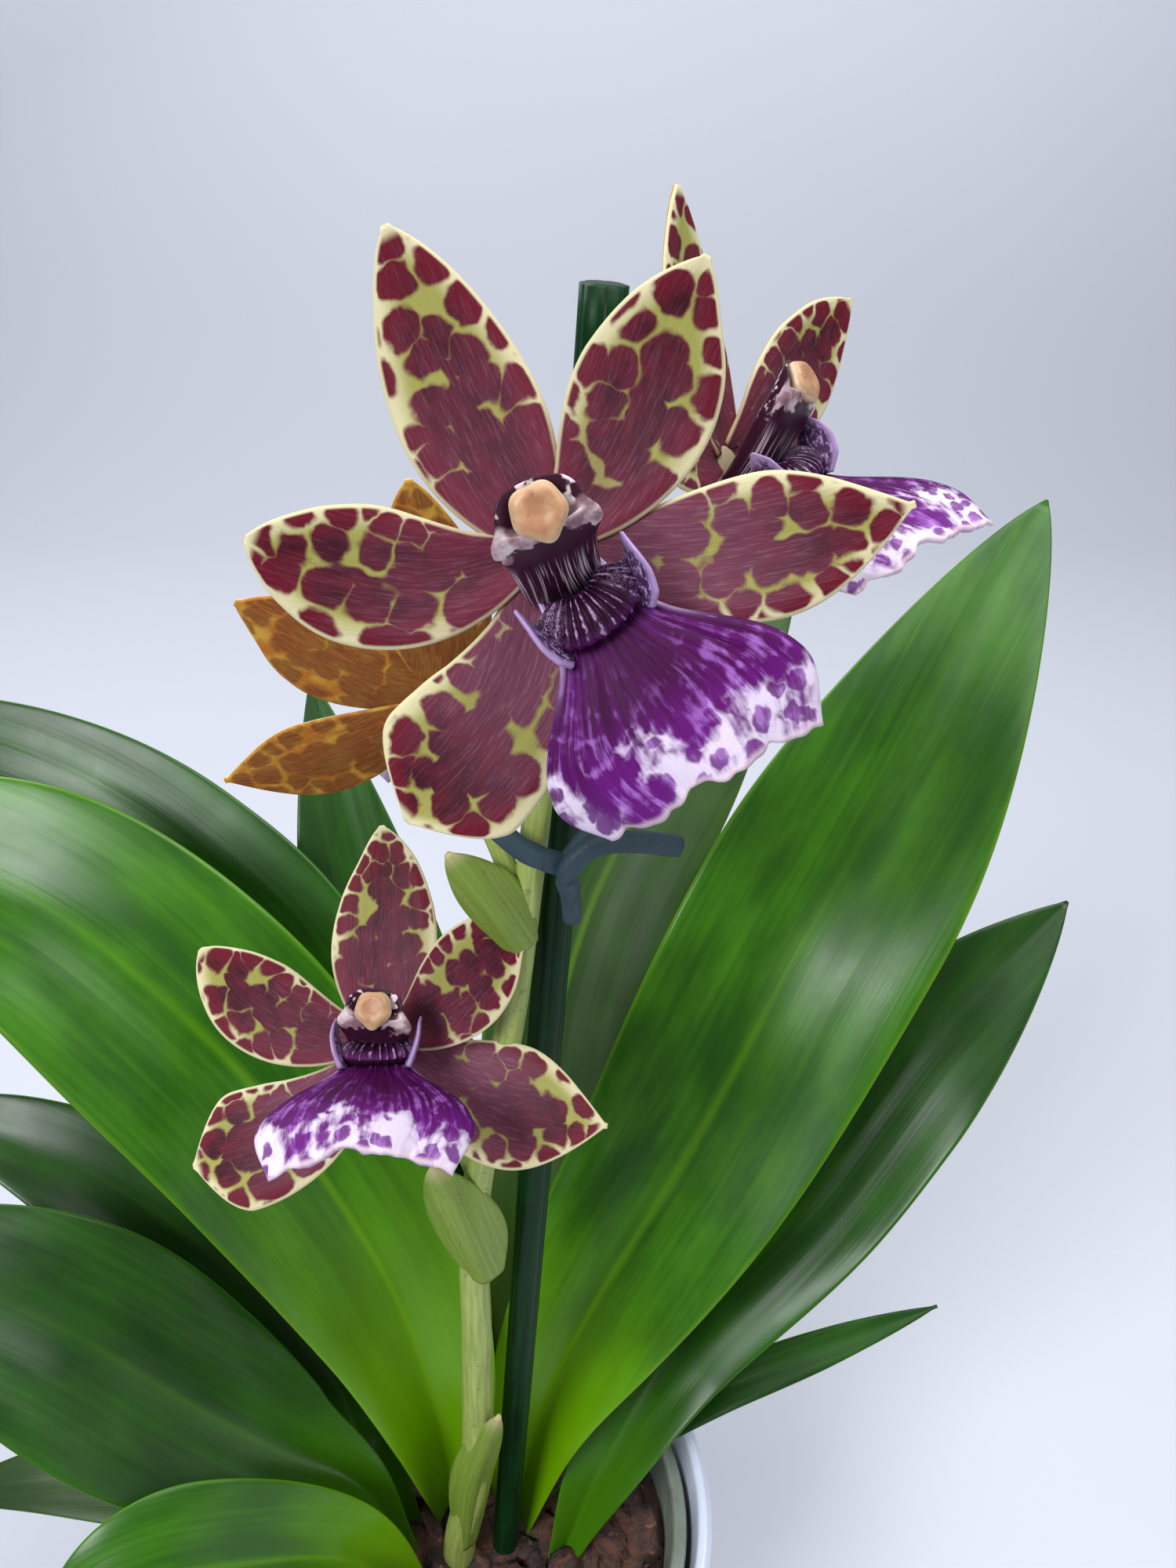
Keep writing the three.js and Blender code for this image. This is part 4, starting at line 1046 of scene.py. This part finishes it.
# %% Spike
STEM = dict(spine=[[-3, -5, 84], [-1, -5.6, 105], [4.4, -6, 138], [7, -5.8, 185], [9, -5.4, 230],
                   [17, -4.6, 275], [21, -4.4, 305], [25, -4.6, 338]],
            radii=[3.9, 3.8, 3.5, 3.1, 2.7, 2.4, 2.2, 1.9])
PEDICELS = {
    "bloom_top": [[24.8, -4.6, 334], [26, -5, 347], [26.1, -12, 358]],
    "bloom_right": [[24, -4.6, 326], [31, -2, 334], [36.5, 7, 343], [43, 15, 353]],
    "bloom_left": [[20, -4.5, 298], [17, -3.4, 309], [13.5, 0, 317], [9.8, 6, 323]],
    "bloom_low": [[10, -5.3, 234], [6, -3, 246], [-1.5, 1, 258], [-3.2, 0.5, 264]],
}
PEDICEL_RADII = [1.5, 1.7, 2.1, 1.9]
BRACTS = [
    dict(spine=[[0, -8.8, 104], [3.5, -10.2, 136], [11, -9.8, 165]], width=13, fold=[42, 42, 30]),
    dict(spine=[[10, -9.2, 211], [7.2, -10.8, 227], [2.6, -10.4, 246]], width=17, fold=[36, 36, 30]),
    dict(spine=[[19.6, -7.4, 293], [15.4, -9.2, 303], [9.5, -8.6, 313]], width=13, fold=[36, 36, 30]),
]
BRACT_GRID = (40, 25)

spike = [round_patch(STEM["spine"], STEM["radii"], rows=120, columns=24,
                     shape=lambda s, turn: 1 + 0.02 * np.cos(6 * turn))]
for name, points in PEDICELS.items():
    spike.append(round_patch([*points, BLOOMS[name]["centre"]], PEDICEL_RADII, rows=40, columns=20,
                             shape=lambda s, turn: 1 + 0.05 * np.cos(6 * turn) * ease(s, 0.3, 0.8)))
for number, bract in enumerate(BRACTS):
    spec = dict(bract, base=0.55, peak=0.45, tip=0.75, facing=always(0.0, 1.0, 0.0))
    spike.append(blade_patch(spec, *BRACT_GRID, LEAF_THICKNESS, shift=400.0 + 9 * number, finish=1))
make_piece("flower_spike", spike, STEM_FINISHES)

# %% Old bulbs
BULBS = {
    "pseudobulb_back": [[7, 33, 80], [6.5, 34, 101], [6, 35, 124]],
    "pseudobulb_left": [[-25, 27, 80], [-26, 27.5, 98], [-27, 28, 116]],
}
BULB_WIDE = [6, 9, 9.8, 8.4, 5.6, 2.2]
BULB_DEEP = [5.2, 7.4, 8, 7, 4.8, 2]

for name, points in BULBS.items():
    bulb = round_patch(points, BULB_WIDE, BULB_DEEP, rows=56, columns=72,
                       shape=lambda s, turn: 1 - 0.05 * np.abs(np.cos(4 * turn)) * np.sin(np.pi * s))
    make_piece(name, [bulb], [BULB_FINISH])

# %% [markdown]
# ## Stake and tie
#
# The stake is green plastic, moulded with ribs along it. The tie is a wire in dark soft rubber
# with a groove along each face.


# %% Stake and tie finishes
def stake_finish():
    """Dark green plastic, scuffed a little lighter along its ribs."""
    g = Graph("stake_green", Roughness=0.4, Specular_IOR_Level=0.15)
    along, around = g.uv("size")
    scuff = g.noise(g.join(0.5 * along, 8.0 * around), 1.0, 4.0, 0.65)
    g.bump(g.noise(g.place(), 900.0, 3.0), 0.2, 0.0003)
    base = g.coats((2, 38, 10), (g.ease(scuff, 0.35, 0.8), (10, 58, 22)))
    return g.paint(base, g.ease(scuff, 0.2, 0.8, 0.36, 0.52))


def tie_finish():
    """Blue-black rubber, matt, with dust in its fine grain."""
    g = Graph("tie_rubber", Roughness=0.62)
    here = g.place()
    grain = g.noise(here, 1400.0, 3.0)
    g.bump(grain, 0.4, 0.0003)
    base = g.coats((22, 42, 52), (g.noise(here, 260.0), (44, 70, 82)))
    return g.paint(base, g.ease(grain, 0.3, 0.7, 0.55, 0.72))


# %% Stake
STAKE = dict(foot=[5, -4.2, 40], top=[32, 6.5, 388], radius=3.1)
middle = [(a + b) / 2 for a, b in zip(STAKE["foot"], STAKE["top"])]
stake = round_patch([STAKE["foot"], middle, STAKE["top"]], [STAKE["radius"]] * 2, rows=60, columns=72,
                    shape=lambda s, turn: 0.9 + 0.1 * np.abs(np.cos(3 * turn)) ** 0.6)
make_piece("stake", [stake], [stake_finish()])

# %% Tie
TIE = dict(
    radius=1.7,
    loop=[[26, -8.4, 311], [20.5, -9.6, 314.5], [13.5, -6.5, 320], [9, -0.5, 322], [12.5, 7.5, 321],
          [23, 10.5, 317], [31.4, 7, 315], [32.2, 0, 315], [29, -6.5, 313]],
    ends=[[27.6, -7, 300], [27.4, -9, 306], [27, -10.2, 311], [31, -9.4, 315], [37, -7, 314],
          [43.5, -4, 311]],
)

tie = [round_patch(path, [TIE["radius"]] * 2, facing=(0, 0, 1), rows=rows, columns=24,
                   shape=lambda s, turn: 1 - 0.16 * np.abs(np.cos(turn)) ** 8)
       for path, rows in (([*TIE["loop"], *TIE["loop"][:2]], 140), (TIE["ends"], 60))]
make_piece("plant_tie", tie, [tie_finish()])

# %% [markdown]
# ## Pots and bark
#
# The outer pot is glazed white, the inner one thin grey-green plastic. Between the leaf feet
# lies coarse bark: a layer of broken chunks, each one a rounded block whose faces are pushed
# in and out. They are placed by the golden angle, which spreads them evenly without rows.


# %% Pot and bark finishes
def glaze_finish():
    """White glaze with a hint of blue and very faint unevenness."""
    g = Graph("pot_glaze", Roughness=0.18, Coat_Weight=0.3)
    here = g.place()
    g.bump(g.noise(here, 40.0), 0.08, 0.001)
    base = g.coats((192, 202, 222), (g.noise(here, 14.0, 3.0), (210, 216, 232)))
    return g.paint(base, g.ease(g.noise(here, 120.0, 3.0), 0.3, 0.8, 0.14, 0.24))


def grow_pot_finish():
    """Thin cloudy plastic with darker stains."""
    g = Graph("grow_pot_plastic", Roughness=0.4)
    here = g.place()
    stain = g.ease(g.noise(here, 60.0, 4.0, 0.6), 0.4, 0.75)
    g.bump(g.noise(here, 300.0), 0.15, 0.0005)
    return g.paint(g.coats((112, 122, 110), (stain, (72, 72, 60))))


def bark_finish():
    """Dark layered bark: streaks of brown and purple-black, with pale worn edges."""
    g = Graph("bark_chunks", Roughness=0.85)
    here = g.place()
    streak = g.noise(here, 130.0, 5.0, 0.65, 1.2)
    worn = g.ease(g.noise(here, 420.0, 3.0), 0.6, 0.75, 0.0, 0.5)
    g.bump(streak + 0.4 * g.noise(here, 700.0, 3.0), 0.8, 0.0012)
    base = g.coats((34, 22, 22), (g.ease(streak, 0.35, 0.7), (92, 58, 44)), (worn, (150, 112, 84)))
    return g.paint(base, g.ease(streak, 0.3, 0.7, 0.7, 0.95))


# %% Measures and profiles of the pots
CLEARANCE = 0.3
AXIS = 0.05    # a profile starts this far from the axis, because a ring needs some size
COVER_POT = dict(height=108, rim_radius=59, foot_radius=45, wall=2.6, bead=2, floor=3)
GROW_POT = dict(height=102, rim_radius=52.6, foot_radius=38, wall=1.4, lip=2, floor=1.5)
GROW_FOOT = COVER_POT["floor"] + CLEARANCE
GROW_INSIDE = GROW_FOOT + GROW_POT["floor"]


def rounded(profile, steps=5, cut=0.35, longest=4):
    """A profile with its inner corners cut back and rounded by a quadratic through each corner."""
    p = np.asarray(profile, float)
    t = np.linspace(0, 1, steps)[:, None]
    parts = [p[:1]]
    for before, corner, after in zip(p[:-2], p[1:-1], p[2:]):
        reach = cut * min(np.linalg.norm(corner - before), np.linalg.norm(after - corner), longest)
        start = corner + unit(before - corner) * reach
        end = corner + unit(after - corner) * reach
        parts.append((1 - t) ** 2 * start + 2 * t * (1 - t) * corner + t**2 * end)
    return np.vstack([*parts, p[-1:]])


def grow_radius(z):
    """Inside radius of the grow pot at a height."""
    rise = (z - GROW_FOOT) / (GROW_POT["height"] - GROW_FOOT)
    slope = GROW_POT["rim_radius"] - GROW_POT["foot_radius"]
    return GROW_POT["foot_radius"] + slope * rise - GROW_POT["wall"]


# %% Pots
height, rim, foot, wall, bead, floor = COVER_POT.values()
cover_profile = [
    [AXIS, 0], [foot - 1.5, 0], [foot, 1.5], [rim, height - 2.4 * bead],
    [rim + 0.7 * bead, height - 1.7 * bead], [rim + 0.8 * bead, height - 0.8 * bead],
    [rim, height], [rim - 0.9 * bead, height - 0.4 * bead], [rim - wall, height - 2.4 * bead],
    [foot - wall, floor + 1.5], [foot - wall - 1.5, floor], [AXIS, floor],
]
make_piece("cover_pot", [turned_patch(rounded(cover_profile))], [glaze_finish()])

height, rim, foot, wall, lip, _ = GROW_POT.values()
grow_profile = [
    [AXIS, GROW_FOOT], [foot, GROW_FOOT], [grow_radius(height - lip) + wall, height - lip],
    [rim + lip, height - lip], [rim + lip, height], [grow_radius(height), height],
    [grow_radius(GROW_INSIDE), GROW_INSIDE], [AXIS, GROW_INSIDE],
]
make_piece("grow_pot", [turned_patch(rounded(grow_profile))], [grow_pot_finish()])

# %% Bark
BARK_LEVEL = 90
CHUNKS = dict(count=150, ring=45, size=np.array([6.2, 4.2, 2.8]), boxy=0.55, rough=0.16)
GOLDEN_ANGLE = np.radians(137.5)
random = np.random.default_rng(41)


def chunk_patch(centre, size, turn):
    """A block with rounded edges: a sphere's points pushed out towards a cube, then roughened."""
    angle, around = ball_angles(0.08, 11, 16)
    ball = grid(np.sin(angle) * np.cos(around), np.sin(angle) * np.sin(around), np.cos(angle))
    block = np.sign(ball) * np.abs(ball) ** CHUNKS["boxy"]
    block = block * (1 + CHUNKS["rough"] * random.uniform(-1, 1, block.shape[:2])[..., None])
    rings = (block * size) @ np.array(turn).T + centre
    return patch(rings, *round_maps(rings))


bottom = GROW_INSIDE + CLEARANCE
core = [[AXIS, bottom], [grow_radius(GROW_INSIDE) - 2 * CLEARANCE, bottom],
        [grow_radius(BARK_LEVEL) - CLEARANCE, BARK_LEVEL], [AXIS, BARK_LEVEL]]
bark = [turned_patch(core, columns=96)]
for i in range(CHUNKS["count"]):
    out = CHUNKS["ring"] * np.sqrt((i + 0.5) / CHUNKS["count"])
    size = CHUNKS["size"] * random.uniform(0.6, 1.15, 3)
    tilt = Matrix.Rotation(random.uniform(0, 6.28), 3, "Z")
    tilt = tilt @ Matrix.Rotation(random.uniform(-0.5, 0.5), 3, "X")
    level = BARK_LEVEL + random.uniform(-0.5, 2.5)
    centre = np.array([out * np.cos(i * GOLDEN_ANGLE), out * np.sin(i * GOLDEN_ANGLE), level])
    bark.append(chunk_patch(centre, size, tilt))
make_piece("potting_bark", bark, [bark_finish()])

# %% [markdown]
# ## Floor, light and camera
#
# The plant stands on a plain pale floor that curves up behind it, as in a studio. Large soft
# lights stand in for windows: broad, because a glossy leaf shows the shape of what lights it.
# The camera is close above the blooms and looks down at the pot. All sizes here are metres.


# %% Floor
SWEEP = dict(width=6.0, front=2.5, back=0.9, height=2.6, bend=0.6)


def floor_finish():
    """Pale matt paint, with painted shade that darkens the floor and painted light that brightens the
    wall, and the slightest unevenness.
    """
    g = Graph("floor_pale", Roughness=0.8)
    here = g.place()
    height = g.node("ShaderNodeSeparateXYZ", {0: here}, 2)
    # painted light and shade: darker on the floor and lighter up the wall, to even out how the lamps
    # light them
    level = g.ease(height + 0.1 * g.noise(here, 1.5), 0.0, 0.7)
    return g.paint(g.coats((192, 195, 204), (level, (234, 237, 247))))


def sweep_mesh(width, front, back, height, bend):
    """A floor that turns up into a wall through a quarter circle."""
    turn = np.linspace(0, np.pi / 2, 24)
    y = np.concatenate([[-front], back + bend * np.sin(turn), [back + bend]])
    z = np.concatenate([[0], bend * (1 - np.cos(turn)), [height]])
    points = grid([-width / 2, width / 2], y[:, None], z[:, None]).reshape(-1, 3)
    i = np.arange(len(y) - 1) * 2
    faces = np.stack([i, i + 1, i + 3, i + 2], 1)
    mesh = bpy.data.meshes.new("studio_sweep")
    mesh.from_pydata(points.tolist(), [], faces.tolist())
    mesh.polygons.foreach_set("use_smooth", np.ones(len(faces), bool))
    mesh.materials.append(floor_finish())
    return mesh


floor_object = add("studio_sweep", sweep_mesh(**SWEEP))


# %% Lights
def soft_light(name, place, width, power, tint):
    """A square area light that looks at the middle of the plant."""
    data = bpy.data.lights.new(name, "AREA")
    data.shape = "SQUARE"
    data.size = width
    data.energy = power
    data.color = tint
    light = add(name, data)
    light.location = place
    light.rotation_euler = (PLANT_MIDDLE - Vector(place)).to_track_quat("-Z", "Y").to_euler()


PLANT_MIDDLE = Vector((0.0, 0.02, 0.24))
soft_light("window_front_left", (-0.70, -0.80, 1.20), 0.55, 18, (0.97, 0.98, 1.0))
soft_light("window_above", (0.35, 0.10, 1.35), 0.9, 13, (0.98, 0.99, 1.0))
soft_light("window_back_left", (-0.55, 0.75, 1.05), 0.6, 6, (0.96, 0.98, 1.0))
soft_light("fill_right", (1.0, -0.6, 0.6), 0.9, 3, (1.0, 0.98, 0.95))

world = bpy.data.worlds.new("room")
world.use_nodes = True
room_colour, room_strength = world.node_tree.nodes["Background"].inputs[:2]
room_colour.default_value = colour(222, 226, 236)
room_strength.default_value = 0.32
bpy.context.scene.world = world
bpy.context.scene.view_settings.view_transform = "Standard"
print("lights:", len(bpy.data.lights))

# %% Camera
CAMERA_PITCH = 33.0    # degrees below level
camera_data = bpy.data.cameras.new("camera")
camera_data.sensor_width = 36
camera_data.lens = 27
camera_data.clip_start = 0.01
camera = add("camera", camera_data)
camera.location = (0.030, -0.147, 0.415)
camera.rotation_euler = (np.radians(90 - CAMERA_PITCH), 0, 0)
bpy.context.scene.camera = camera
